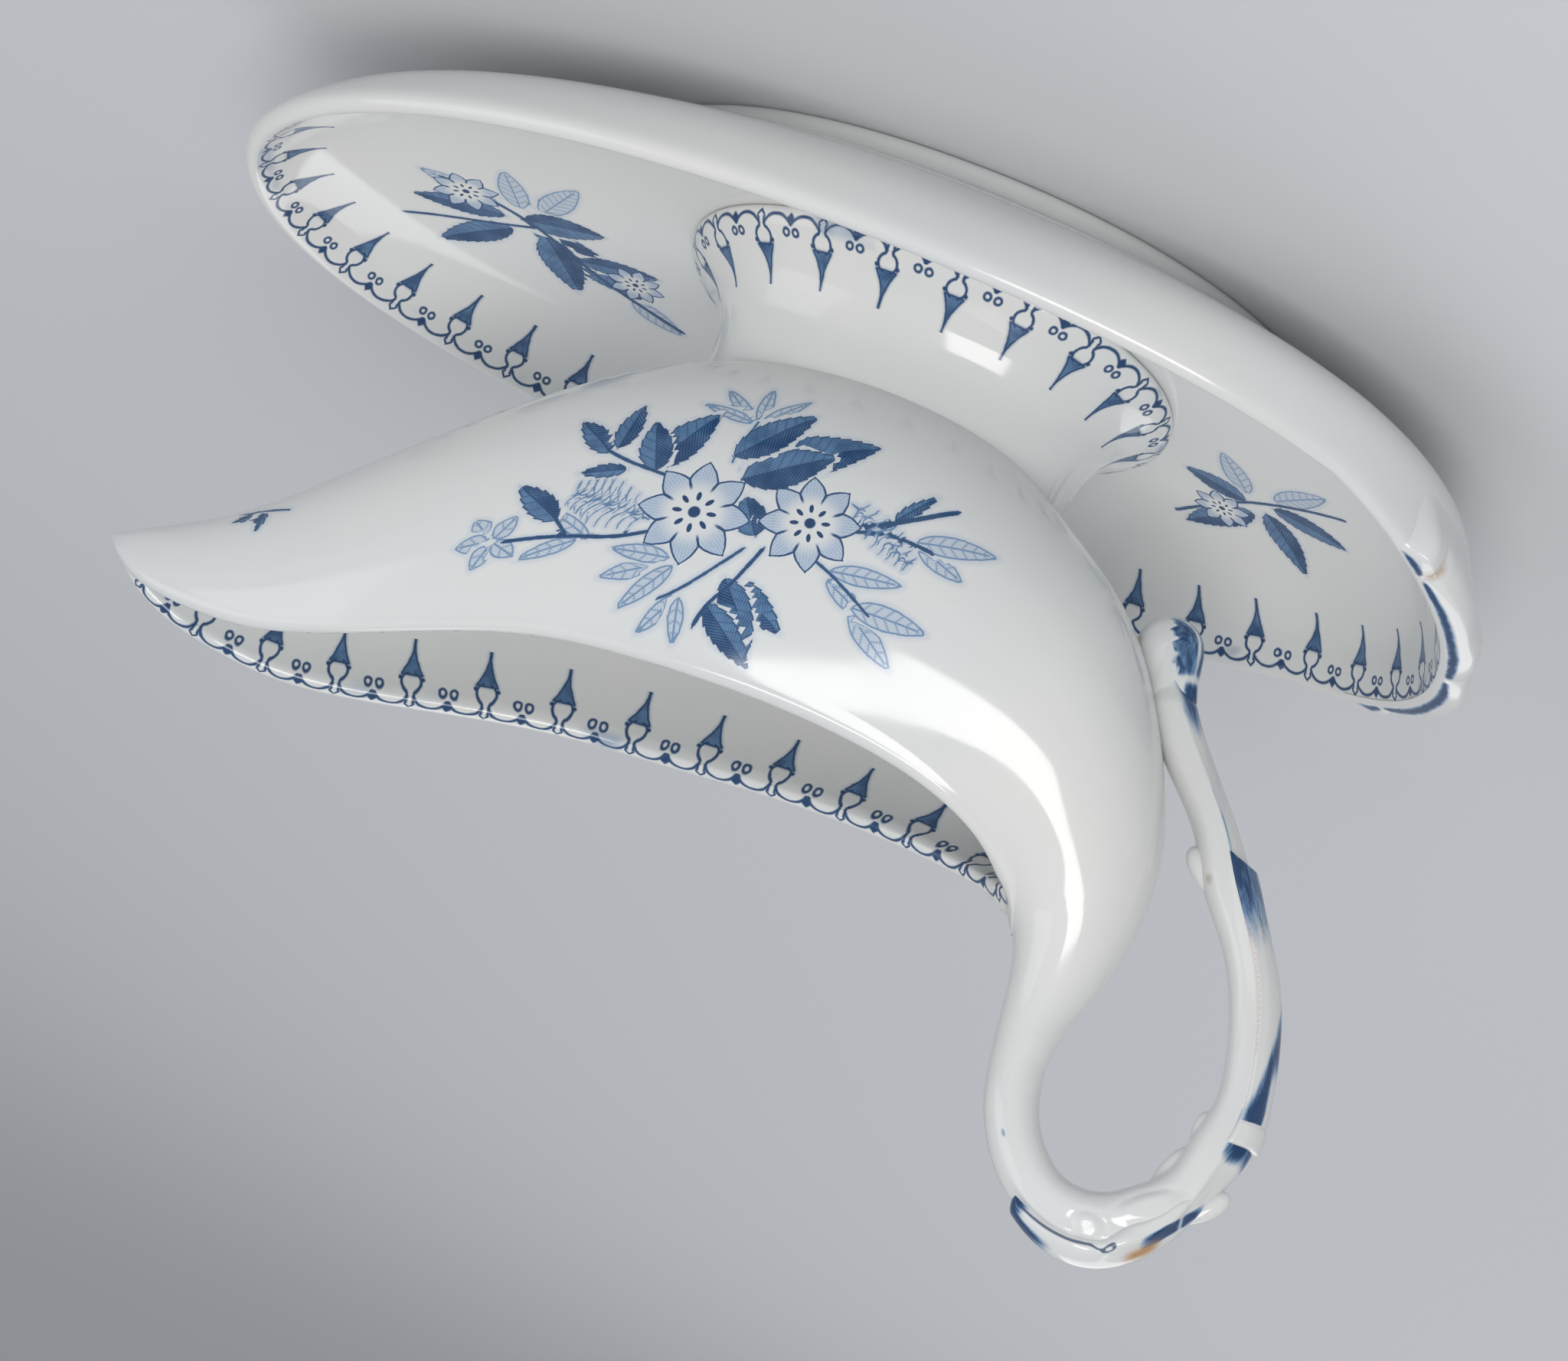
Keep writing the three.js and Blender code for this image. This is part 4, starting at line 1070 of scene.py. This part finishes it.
dish = grid_piece("dish", dish_points, dish_glaze, uv=dish_uv, marks=dish_marks, ends="wrap")
mount(dish, "stand_dish")


# Foot ring.
# The turned ring that the whole piece stands on, of the same glazed earthenware and one with the
# dish above. Its section is a rounded rectangle carried round an oval.
foot_middle = -12.0
foot_half_length = 64.2
foot_half_width = 48.5
foot_half_thick = 2.8
foot_half_height = 2.85


def oval(angles, centre, half_length, half_width, power):
    """x and y of a superellipse of the given power at ring angles."""
    x = centre + half_length * signed_power(np.cos(angles), 2 / power)
    return x, half_width * signed_power(np.sin(angles), 2 / power)


foot_angles = np.linspace(0, 2 * np.pi, 241)[:-1]
section_turn = np.linspace(0, 2 * np.pi, 29)[:-1, None]
outward = foot_half_thick * signed_power(np.cos(section_turn), 0.55)
height = foot_half_height * (1 + signed_power(np.sin(section_turn), 0.7))
x, y = oval(foot_angles, foot_middle, foot_half_length + outward, foot_half_width + outward, 2.1)
foot_points = np.stack([x, y, np.broadcast_to(height, x.shape)], axis=2)
foot_ring = grid_piece("foot_ring", foot_points, glazed("foot_glaze"), ends="wrap")
mount(foot_ring, "stand_foot_ring")


# Pedestal.
# The waisted foot between dish and boat, of the same earthenware and luted to both: it flares on to
# the dish, and its neck runs up into the boat's wall. The border's spires point up from its foot.

# A row of the flare is the share of the spread from neck to foot, and the height above the dish. The
# rows past flare_end only guide the curve.
pedestal_flare = [
    (1.0, 0.3), (1.03, 1.1), (0.98, 2.6), (0.8, 4.6), (0.5, 7.0), (0.25, 9.6),
    (0.08, 12.6), (0.0, 16.4), (0.0, 20.6), (0.0, 25.0), (0.0, 29.0),
]
flare_end = 8
pedestal_middle = -9.5
pedestal_power = 2.2
neck_half_length, neck_half_width = 33.7, 24.0
base_half_length, base_half_width = 45.0, 35.5
pedestal_wall = 4.5
dish_floor_top = 9.6
neck_stretch_start = 7.0
into_boat = 1.2
pedestal_repeats = 20

spread, rise = through_rows(pedestal_flare, np.linspace(0, flare_end, 60)).T[:, :, None]
base_x, base_y = oval(fine_angles, pedestal_middle, base_half_length, base_half_width, pedestal_power)
base_line = np.stack([base_x, base_y, np.full(len(base_x), dish_floor_top + rise[0, 0])], axis=1)
pedestal_angles = even_angles(base_line, 288)

# Above neck_stretch_start the neck stretches up into the boat, whose underside is found at each column
# by a ray straight up from below.
neck_x, neck_y = oval(pedestal_angles, pedestal_middle, neck_half_length, neck_half_width,
                      pedestal_power)
boat_tree = BVHTree.FromObject(boat, bpy.context.evaluated_depsgraph_get())
neck_feet = np.stack([neck_x + drawing_shift, neck_y, np.full(len(neck_x), 5.0)], axis=1) / 1000
underside = np.array([boat_tree.ray_cast(foot, (0, 0, 1))[0][2] for foot in neck_feet.tolist()]) * 1000
stretch = smooth_step(neck_stretch_start, rise[-1], rise)
neck_height = dish_floor_top + rise + stretch * (underside + into_boat - dish_floor_top - rise[-1])


def pedestal_skin(inset):
    """The pedestal's outer rows set in by a distance: the neck's oval plus the flare's spread."""
    half_length = neck_half_length + spread * (base_half_length - neck_half_length) - inset
    half_width = neck_half_width + spread * (base_half_width - neck_half_width) - inset
    x, y = oval(pedestal_angles, pedestal_middle, half_length, half_width, pedestal_power)
    return np.stack([x, y, neck_height], axis=2)


pedestal_points = np.concatenate([pedestal_skin(0.0), pedestal_skin(pedestal_wall)[::-1]])
pedestal_uv = ring_map(pedestal_points, np.arange(len(pedestal_points)) < len(spread), base_line,
                       pedestal_repeats, 0.6)
pedestal_glaze = glazed("pedestal_glaze", pitch=run_along(base_line)[-1] / pedestal_repeats)
pedestal = grid_piece("pedestal", pedestal_points, pedestal_glaze, uv=pedestal_uv, ends="wrap")
mount(pedestal, "pedestal_foot")


# Handle.
# The tall loop that grows out of the boat's neck and comes down behind it: a pulled bar of the same
# earthenware with a ridge along each side of its back, fixed to the boat at the neck and at its foot.

# A station is a section of the bar, from the boat's neck over the top and down to the scroll: x and z
# of its outer edge, x and z of its inner edge, and its half width.
handle_stations = [
    (-68.6, 126.0, -78.0, 125.0, 5.6),
    (-70.2, 132.6, -79.3, 130.6, 5.6),
    (-73.6, 139.4, -82.0, 135.6, 5.7),
    (-79.2, 145.6, -86.0, 139.4, 5.8),
    (-86.8, 149.6, -90.0, 140.7, 6.0),
    (-94.8, 150.3, -94.4, 139.9, 6.1),
    (-101.8, 147.2, -98.4, 137.0, 6.0),
    (-107.4, 141.2, -102.5, 132.4, 5.9),
    (-111.6, 133.2, -104.0, 125.4, 5.8),
    (-114.2, 124.2, -105.2, 119.2, 5.6),
    (-113.1, 114.2, -104.6, 113.0, 5.5),
    (-110.9, 105.6, -102.6, 105.8, 5.4),
    (-107.4, 96.8, -99.6, 98.6, 5.3),
    (-102.4, 88.8, -95.2, 91.8, 5.2),
    (-97.0, 80.8, -89.6, 84.8, 5.1),
    (-91.8, 73.8, -85.0, 77.0, 4.8),
    (-85.4, 66.2, -78.2, 69.6, 4.6),
    (-79.8, 59.4, -71.9, 62.7, 4.7),
    (-75.6, 52.8, -67.2, 55.7, 4.9),
]


def bell(values, centre, width, power=2):
    """1 at the centre, falling off as e to the minus ((value - centre) / width)^power."""
    return np.exp(-((values - centre) / width) ** power)


def ridge_at(places):
    """The ridges' angle from the outer edge: 49 degrees over the crown, 84 down the back, 76 below."""
    return np.radians(49 + 35 * smooth_step(6.6, 9.2, places) - 8 * smooth_step(12.5, 15.0, places))


def from_edge(angles):
    """The size of each angle from the bar's outer edge, whichever way round it lies."""
    return np.abs((angles + np.pi) % (2 * np.pi) - np.pi)


def handle_skin(places, angles, grow):
    """Points on the handle at station places and at angles from its outer edge, grown outwards.

    places is one number for each row, or one for each point of the grid. The section is a superellipse
    between the outer and inner edge points. A ridge stands 0.48 mm proud along both sides of its back,
    and the surface is hollowed a little on either side of the ridge. Two ovals in a shallow groove are
    raised 0.42 mm on each cheek near the top of the loop, one small and one long.
    """
    if places.ndim == 1:
        places = places[:, None]
    stations = through_rows(handle_stations, places.ravel())
    out_x, out_z, in_x, in_z, half = [column.reshape(places.shape) for column in stations.T]
    centre_x, centre_z = (out_x + in_x) / 2, (out_z + in_z) / 2
    thick = np.hypot(out_x - in_x, out_z - in_z) / 2
    way_x, way_z = (out_x - in_x) / (2 * thick), (out_z - in_z) / (2 * thick)
    c, s = np.cos(angles), np.sin(angles)
    power = 2 / (2 + 0.15 * smooth_step(0, 1.5, places))
    a = thick * signed_power(c, power)
    b = half * signed_power(s, power)
    turn = from_edge(angles)
    ridged = smooth_step(2.6, 4.0, places) * (1 - 0.5 * smooth_step(15, 17.6, places))
    ridge = ridge_at(places)
    lift = ridged * (0.48 * bell(turn, ridge, 0.13) - 0.40 * bell(turn / ridge, 0.52, 0.3)
                     - 0.28 * bell(turn, ridge + 0.45, 0.26))
    x, z = centre_x + way_x * a, centre_z + way_z * a
    small_oval = np.hypot((x + 94.1) / 2.7, (z - 147.0) / 1.9)
    along = ((x + 102.4) * -0.78 + (z - 140.6) * -0.62) / 6.0
    beside = ((x + 102.4) * 0.62 + (z - 140.6) * -0.78) / 2.5
    for radii in (small_oval, np.hypot(along, beside)):
        lift = lift + 0.42 * (1 - smooth_step(0.55, 1.0, radii)) - 0.16 * bell(radii, 1.12, 0.12)
    normal_a, normal_b = c / thick, s / half
    size = np.hypot(normal_a, normal_b)
    a = a + (lift + grow) * normal_a / size
    b = b + (lift + grow) * normal_b / size
    return np.stack([centre_x + way_x * a, b, centre_z + way_z * a], axis=2)


def map_from(across, along):
    """A map for brush streaks: u changes with the column and v with the row."""
    return np.stack(np.meshgrid(across, along), axis=2)


# Brush streaks are drawn out along the stroke: the map runs slowly along the bar and fast round it.
streak_rate = 0.22
loop_places = np.linspace(-0.06, 17.9, 330)
loop_angles = np.linspace(0, 2 * np.pi, 81)
foot_shrink = 0.9 * smooth_step(17.35, 17.85, loop_places)[:, None]
loop_points = handle_skin(loop_places, loop_angles[:-1], -foot_shrink)
loop_uv = map_from(loop_angles * 9.0, run_along(loop_points.mean(axis=1)) * streak_rate)
turn_angle = from_edge(loop_angles[:-1])
station = loop_places[:, None]
on_back = 1 - smooth_step(-0.02, 0.14, turn_angle - ridge_at(station))
on_ridge = bell(turn_angle, ridge_at(station), 0.07)
cuff_edge = smooth_step(8.36, 8.84, station + 0.43 * (turn_angle / 1.5) ** 2)
past_cuff = cuff_edge * (station < 9.3) * on_back * (0.84 + 0.25 * np.cos(turn_angle * 7.0))
fleck = 0.55 * bell(station, 2.0, 0.13) * bell(turn_angle, 1.15, 0.09)
foot_streaks = 0.9 * smooth_step(16.2, 17.6, station) * bell(turn_angle, 0.8, 0.5)
low_streaks = smooth_step(14.0, 14.25, station) * (1 - smooth_step(14.4, 17.0, station))
low_streaks = 0.55 * low_streaks * on_ridge
loop_ink = np.zeros(loop_points.shape)
loop_ink[..., 0] = np.clip(past_cuff + foot_streaks + low_streaks + fleck, 0, 1.1)
loop_ink[..., 2] = 0.35 * on_ridge * bell(station, 12.0, 1.2, power=4)
handle_glaze = glazed("handle_glaze", brushed=True, stains=[(-0.0890, -0.0035, 0.0848, 0.0015, 0.5)])
handle = grid_piece("handle", loop_points, handle_glaze, uv=loop_uv, marks={"ink": loop_ink})
mount(handle, "handle_loop")


# Sheath.
# A long leaf sheath lying on the back of the loop between the two ridges, raised about a millimetre,
# with a plain cuff at its upper end. It is pressed on and brushed with cobalt near both ends.
def leaf_shell(name, places, half_angles, thickness, skew, ink_of, material):
    """A raised leaf that wraps the back of the handle.

    Each row is a closed section: the upper face out to a rounded edge at the row's half angle, then
    back just under the skin of the handle. The row's sides lead its middle by skew times the squared
    share across. ink_of(places, share) gives the stored ink, where share runs from -1 to 1.
    """
    across = np.sin(np.linspace(-np.pi / 2, np.pi / 2, 41))
    grow = thickness[:, None] * (1 - np.abs(across) ** 5) ** 0.5 - 0.12
    lead = places[:, None] + skew[:, None] * across ** 2
    top = handle_skin(lead, across * half_angles[:, None], grow)
    under = handle_skin(lead[:, ::-1], across[::-1] * half_angles[:, None], -0.7)
    points = np.concatenate([top, under], axis=1)
    share = np.concatenate([across, across[::-1]])
    ink = ink_of(places[:, None], np.tile(share, (len(places), 1)))
    run = run_along(points.mean(axis=1))
    leaf_map = map_from(np.append(share, share[0]) * 8.0, run * streak_rate)
    return grid_piece(name, points, material, uv=leaf_map, marks={"ink": ink})


brushed_cobalt = glazed("brushed_cobalt", brushed=True)
sheath_start, sheath_end = 8.95, 14.12
sheath_places = np.unique(np.concatenate([
    np.linspace(sheath_start, 9.5, 22),
    np.linspace(9.5, 13.6, 90),
    np.linspace(13.6, sheath_end, 18),
]))
sheath_thick = (0.95 + 0.25 * smooth_step(12.6, 14.0, sheath_places)
                + 0.30 * (1 - smooth_step(9.34, 9.42, sheath_places)))
sheath_thick = sheath_thick * smooth_step(8.93, 9.02, sheath_places) ** 0.5
sheath_thick = sheath_thick * (1 - smooth_step(14.02, 14.13, sheath_places)) ** 0.5
sheath_skew = -0.43 + 0.73 * (sheath_places - sheath_start) / (sheath_end - sheath_start)


def sheath_ink(places, share):
    """Streaks towards the lower end, and below the cuff a stroke that narrows away from it.

    The stroke covers the middle by a width that shrinks down the sheath, and leaves a white strip
    along its middle beside the cuff. Rust dots follow the edges half way down.
    """
    ink = np.zeros(share.shape + (3,))
    side = np.abs(share)
    low_end = smooth_step(11.9, 13.9, places) * (0.64 + 0.34 * side ** 3)
    width = 0.22 + 0.80 * np.clip((11.7 - places) / 2.1, 0, 1)
    stroke = (1 - smooth_step(11.2, 12.3, places)) * (places > 9.42)
    high_end = stroke * (1 - smooth_step(width - 0.3, width + 0.12, side))
    white_strip = (1 - smooth_step(0.32, 0.48, side)) * (1 - smooth_step(9.9, 10.9, places))
    ink[..., 0] = np.clip(low_end + 0.92 * high_end * (1 - white_strip), 0, 1.1)
    dots = 0.5 + 0.5 * np.cos(places * 60)
    ink[..., 2] = 0.6 * bell(side, 0.965, 0.02) * (places > 10.6) * (places < 12.8) * dots
    return ink


sheath = leaf_shell("sheath", sheath_places, ridge_at(sheath_places) * 1.03, sheath_thick, sheath_skew,
                    sheath_ink, brushed_cobalt)
mount(sheath, "handle_back_leaf")


# Crown leaf.
# The broad leaf pressed over the top of the loop, a little wavy along its edges. Brushed cobalt
# starts it, a fine line follows its edges to a small loop, and a blot and a rust stain lie towards
# its point.
leaf_start, leaf_end = 3.25, 7.75
leaf_places = np.linspace(leaf_start, leaf_end, 120)
leaf_share = (leaf_places - leaf_start) / (leaf_end - leaf_start)
leaf_degrees = (28 + 16 * smooth_step(3.3, 4.8, leaf_places) + 24 * smooth_step(5.1, 6.1, leaf_places)
                - 22 * smooth_step(7.0, leaf_end, leaf_places))
leaf_angles = np.radians(leaf_degrees) * (1 + 0.02 * np.sin(leaf_share * 15.0))
leaf_thick = 2.6 * (0.25 + 0.75 * np.sin(np.pi * np.clip(leaf_share + 0.1, 0, 1)))
leaf_thick = leaf_thick * smooth_step(0.0, 0.05, leaf_share) ** 0.5
leaf_thick = leaf_thick * (1 - 0.45 * smooth_step(0.93, 1.0, leaf_share))


def crown_ink(places, share):
    """Cover, lines and rust on the crown leaf.

    The cover is a start that fades along the leaf and a blot on each side of its point, cut across by
    one pale gap. The lines are one along each edge and the loop that ends it, a ring about a centre.
    The rust is a stain on each side before the blot.
    """
    ink = np.zeros(share.shape + (3,))
    side = np.abs(share)
    edge_line = bell(side, 0.95 - 0.17 * smooth_step(5.1, 5.5, places), 0.035)
    edge_line = edge_line * (1 - smooth_step(5.38, 5.46, places))
    from_loop = np.hypot((places - 5.54) / 0.14, (side - 0.78) / 0.12)
    ink[..., 1] = 0.85 * edge_line + 0.8 * bell(from_loop, 0.8, 0.4)
    shifted = side + 0.20 * smooth_step(6.7, 7.4, places)
    blot = bell(places, 6.92, 0.70, power=6) * smooth_step(0.26, 0.42, shifted)
    blot = blot * (1 - smooth_step(0.68, 0.82, shifted))
    blot = blot * (1 - 0.7 * bell(places - 0.2 * (side - 0.5), 7.1, 0.06))
    start = bell(places, 3.38, 0.25) + bell(places, 3.85, 0.5) * (1 - smooth_step(0.4, 0.7, side))
    ink[..., 0] = np.clip(0.9 * blot + 0.85 * start, 0, 1.1)
    ink[..., 2] = 1.2 * bell(places, 6.25, 0.36, power=4) * bell(side, 0.28, 0.16)
    return ink


crown_leaf = leaf_shell("crown_leaf", leaf_places, leaf_angles, leaf_thick, np.zeros(len(leaf_places)),
                        crown_ink, brushed_cobalt)
mount(crown_leaf, "handle_crown_leaf")


# Buds.
# The tip of the crown leaf and three small buds where side shoots were trimmed off the branch: white
# glazed pears pressed into the handle's skin, each longer than it is wide.
def bud(name, place, side, proud, length, width, tilt, node):
    """A pear on the handle, round at one end: radius w t^0.5 (1 - t)^1.1 / 0.74 along a tilted axis.

    It stands at a station place, on the outer edge where side is 1 or the inner where it is -1. The
    point at 0.35 of its length is a little proud of the edge or, as a negative number, inside it. The
    tilt is in degrees.
    """
    out_x, out_z, in_x, in_z, _ = through_rows(handle_stations, [place])[0]
    thick = np.hypot(out_x - in_x, out_z - in_z) / 2
    way = np.array([out_x - in_x, 0, out_z - in_z]) / (2 * thick)
    centre = np.array([out_x + in_x, 0, out_z + in_z]) / 2 + way * side * (thick + proud)
    axis = np.array([np.cos(np.radians(tilt)), 0, np.sin(np.radians(tilt))])
    beside = np.array([axis[2], 0, -axis[0]])
    t = eased_shares(41)[:, None, None]
    radius = width * t ** 0.5 * (1 - t) ** 1.1 / 0.74
    angles = np.linspace(0, 2 * np.pi, 37)[:-1, None]
    ring = np.cos(angles) * beside + np.sin(angles) * np.array([0, 1, 0])
    points = centre + (t - 0.35) * length * axis + radius * ring
    piece = grid_piece(name, points, plain_glaze, ends="met")
    mount(piece, node)


plain_glaze = glazed("plain_glaze")
bud("leaf_tip", 7.8, 1, 0.4, 10.0, 3.9, 54, "handle_leaf_tip")
bud("bud_low", 14.3, -1, -0.3, 11.0, 4.0, 134, "handle_bud_low")
bud("bud_rear", 8.4, -1, -1.3, 9.0, 4.2, 84, "handle_bud_rear")
bud("bud_top", 7.3, -1, -1.0, 13.0, 4.6, 63, "handle_bud_top")


# Scroll.
# The rolled knob of the same clay that fixes the foot of the handle to the back of the boat: a rounded
# barrel across the handle, whose tail runs on into the bar. It is white on the half towards the boat,
# and scribbled with cobalt on the other, save for a pale ring near each side painted in as a highlight.
scroll_x, scroll_z = -69.5, 48.7
scroll_radius = 5.9
scroll_half_width = 5.1
tail_length = 13.0
toward_bar = np.radians(114.5)

# Across the barrel the radius falls off as r (1 - |t|^2.6)^(1/2.2). Round it, the half towards the bar
# is drawn out to the tail's length, and narrowed by up to 0.26 to a waist before its round end.
barrel_across = np.sin(np.linspace(-np.pi / 2, np.pi / 2, 61))
barrel_angles = np.linspace(0, 2 * np.pi, 97)
barrel_radius = scroll_radius * (1 - np.abs(barrel_across[:, None]) ** 2.6) ** (1 / 2.2)
ahead, beside = np.sin(barrel_angles[:-1]), np.cos(barrel_angles[:-1])
tail = np.clip(ahead, 0, 1)
tail_side = np.sign(beside) * (1 - 0.26 * smooth_step(0, 0.65, tail)) * (1 - tail ** 8) ** 0.5
length_out = barrel_radius * ahead * np.where(ahead > 0, tail_length / scroll_radius, 1)
breadth = barrel_radius * np.where(ahead > 0, tail_side, beside)
barrel = np.stack([
    scroll_x + length_out * np.cos(toward_bar) - breadth * np.sin(toward_bar),
    scroll_half_width * barrel_across[:, None] * (1 - 0.12 * smooth_step(0.1, 0.7, tail)),
    scroll_z + length_out * np.sin(toward_bar) + breadth * np.cos(toward_bar),
], axis=2)
# Painted highlight: the cobalt is left off in a pale ring near each side of the barrel, standing in for
# light on its rounded shoulder.
painted_highlight_ring = bell(barrel_radius, 5.0, 0.3) * (1 - tail)
ragged = breadth + 0.45 * np.sin(length_out * 2.3) + 0.3 * np.sin(length_out * 5.1 + 1.0)
scribble = smooth_step(0.0, 1.2, ragged) * (1 - 0.85 * painted_highlight_ring) * (1 - smooth_step(5.0, 6.5, length_out))
tail_streaks = smooth_step(6.0, 8.0, length_out) * smooth_step(1.4, 2.4, breadth)
barrel_ink = np.zeros(barrel.shape)
barrel_ink[..., 0] = 0.68 * scribble + 0.85 * tail_streaks
scroll_glaze = glazed("scroll_glaze", brushed=True, stains=[(-0.0625, -0.003, 0.0495, 0.0016, 0.5)])
scroll_map = map_from(barrel_angles * 2.0, barrel_across * 9.0)
scroll = grid_piece("scroll", barrel, scroll_glaze, uv=scroll_map, marks={"ink": barrel_ink}, ends="met")
mount(scroll, "handle_scroll")


# Thumb ledge.
# The scalloped ledge of earthenware pressed on to the handle end of the dish: two wide lobes either
# side of a notch and a narrow one outside each, which swell from under the lip and die away down the
# outer wall. A dab of cobalt lines the crease above each lobe.
lobe_edges = np.array([-42.0, -31.0, 0.0, 31.0, 42.0])
ledge_half_width = 37.6
ledge_foot = 3
cobalt_strength = 0.95

# The ledge is a patch of the dish's own skin, from the lip's crest down to row ledge_foot of the
# profile, pushed outwards. Its columns stand at even places across the handle end, which is a third
# of the fine angles.
ledge_y = np.linspace(-ledge_half_width, ledge_half_width, 241)
handle_end = slice(2400, 4801)
nearest = np.argmin(np.abs(crest_line[handle_end, 1] - ledge_y[:, None]), axis=1)
ledge_angles = fine_angles[handle_end][nearest]
crest_knot, foot_knot = dish_knots[lip_crest], dish_knots[ledge_foot]
ledge_places = crest_knot + (foot_knot - crest_knot) * np.linspace(0, 1, 80) ** 1.5
ledge_skin = dish_rings(ledge_places, ledge_angles)
ledge_run = run_along(ledge_skin[:, len(ledge_y) // 2])
down = ledge_run[:, None]

# notched is 1 in the notches between the lobes and 0 on them. Below the lip the lobes swell out by
# 3.3 mm, less a cut at each notch and a dent half way along each wide lobe.
lobe = np.clip(np.searchsorted(lobe_edges, ledge_y, side="right") - 1, 0, len(lobe_edges) - 2)
in_lobe = (ledge_y - lobe_edges[lobe]) / (lobe_edges[lobe + 1] - lobe_edges[lobe])
ledge_fade = 1 - smooth_step(33.5, ledge_half_width, np.abs(ledge_y))
notched = 1 - np.abs(np.sin(np.pi * in_lobe)) ** 0.5
swell = 3.3 * ledge_fade - 0.35 * (1 - ledge_fade)
fall = smooth_step(0, 2.2, down) ** 0.7 * (1 - smooth_step(3.0, 18.0, down))
cuts = (2.6 * bell(down, 0, 4.0) + 0.9 * bell(down, 5, 4.0)) * notched * ledge_fade
dent = 0.5 * bell(in_lobe, 0.5, 0.12) * (np.abs(ledge_y) < lobe_edges[3])
push = (swell - cuts - dent) * fall - 0.2 * (1 - fall)

# Outwards is the level way in which the oval of the dish faces at the shoulder of its lip.
shoulder_row = 12
facing = ledge_skin[shoulder_row] / (dish_half_length ** 2, dish_half_width ** 2, 1) * (1, 1, 0)
facing = facing / np.linalg.norm(facing, axis=1, keepdims=True)
ledge_top = ledge_skin + push[:, :, None] * facing
ledge_top[..., 2] += 0.8 * ledge_fade * (1 - notched) * bell(down, 2.2, 1.6)
ledge_back = ledge_skin[::-1] - 1.3 * facing
ledge_back[..., 2] = np.minimum(ledge_back[..., 2], ledge_skin[::-1, :, 2] - 0.5)
ledge_rings = np.concatenate([ledge_top, ledge_back]).transpose(1, 0, 2)

crease = np.concatenate([bell(ledge_run, 0.55, 0.34), np.zeros(len(ledge_run))])
dabs = smooth_step(0.0, 0.07, in_lobe) * (1 - smooth_step(0.93, 1.0, in_lobe)) * ledge_fade
ledge_ink = np.zeros(ledge_rings.shape)
ledge_ink[..., 0] = cobalt_strength * crease * dabs[:, None]
ledge_map = map_from(np.concatenate([ledge_run, ledge_run[::-1], [0]]) * 1.5, ledge_y * 0.5)
ledge_glaze = glazed("ledge_glaze", brushed=True, stains=[(-0.1047, -0.0322, 0.0305, 0.0030, 0.95)])
ledge = grid_piece("thumb_ledge", ledge_rings, ledge_glaze, uv=ledge_map, marks={"ink": ledge_ink})
mount(ledge, "stand_lug")
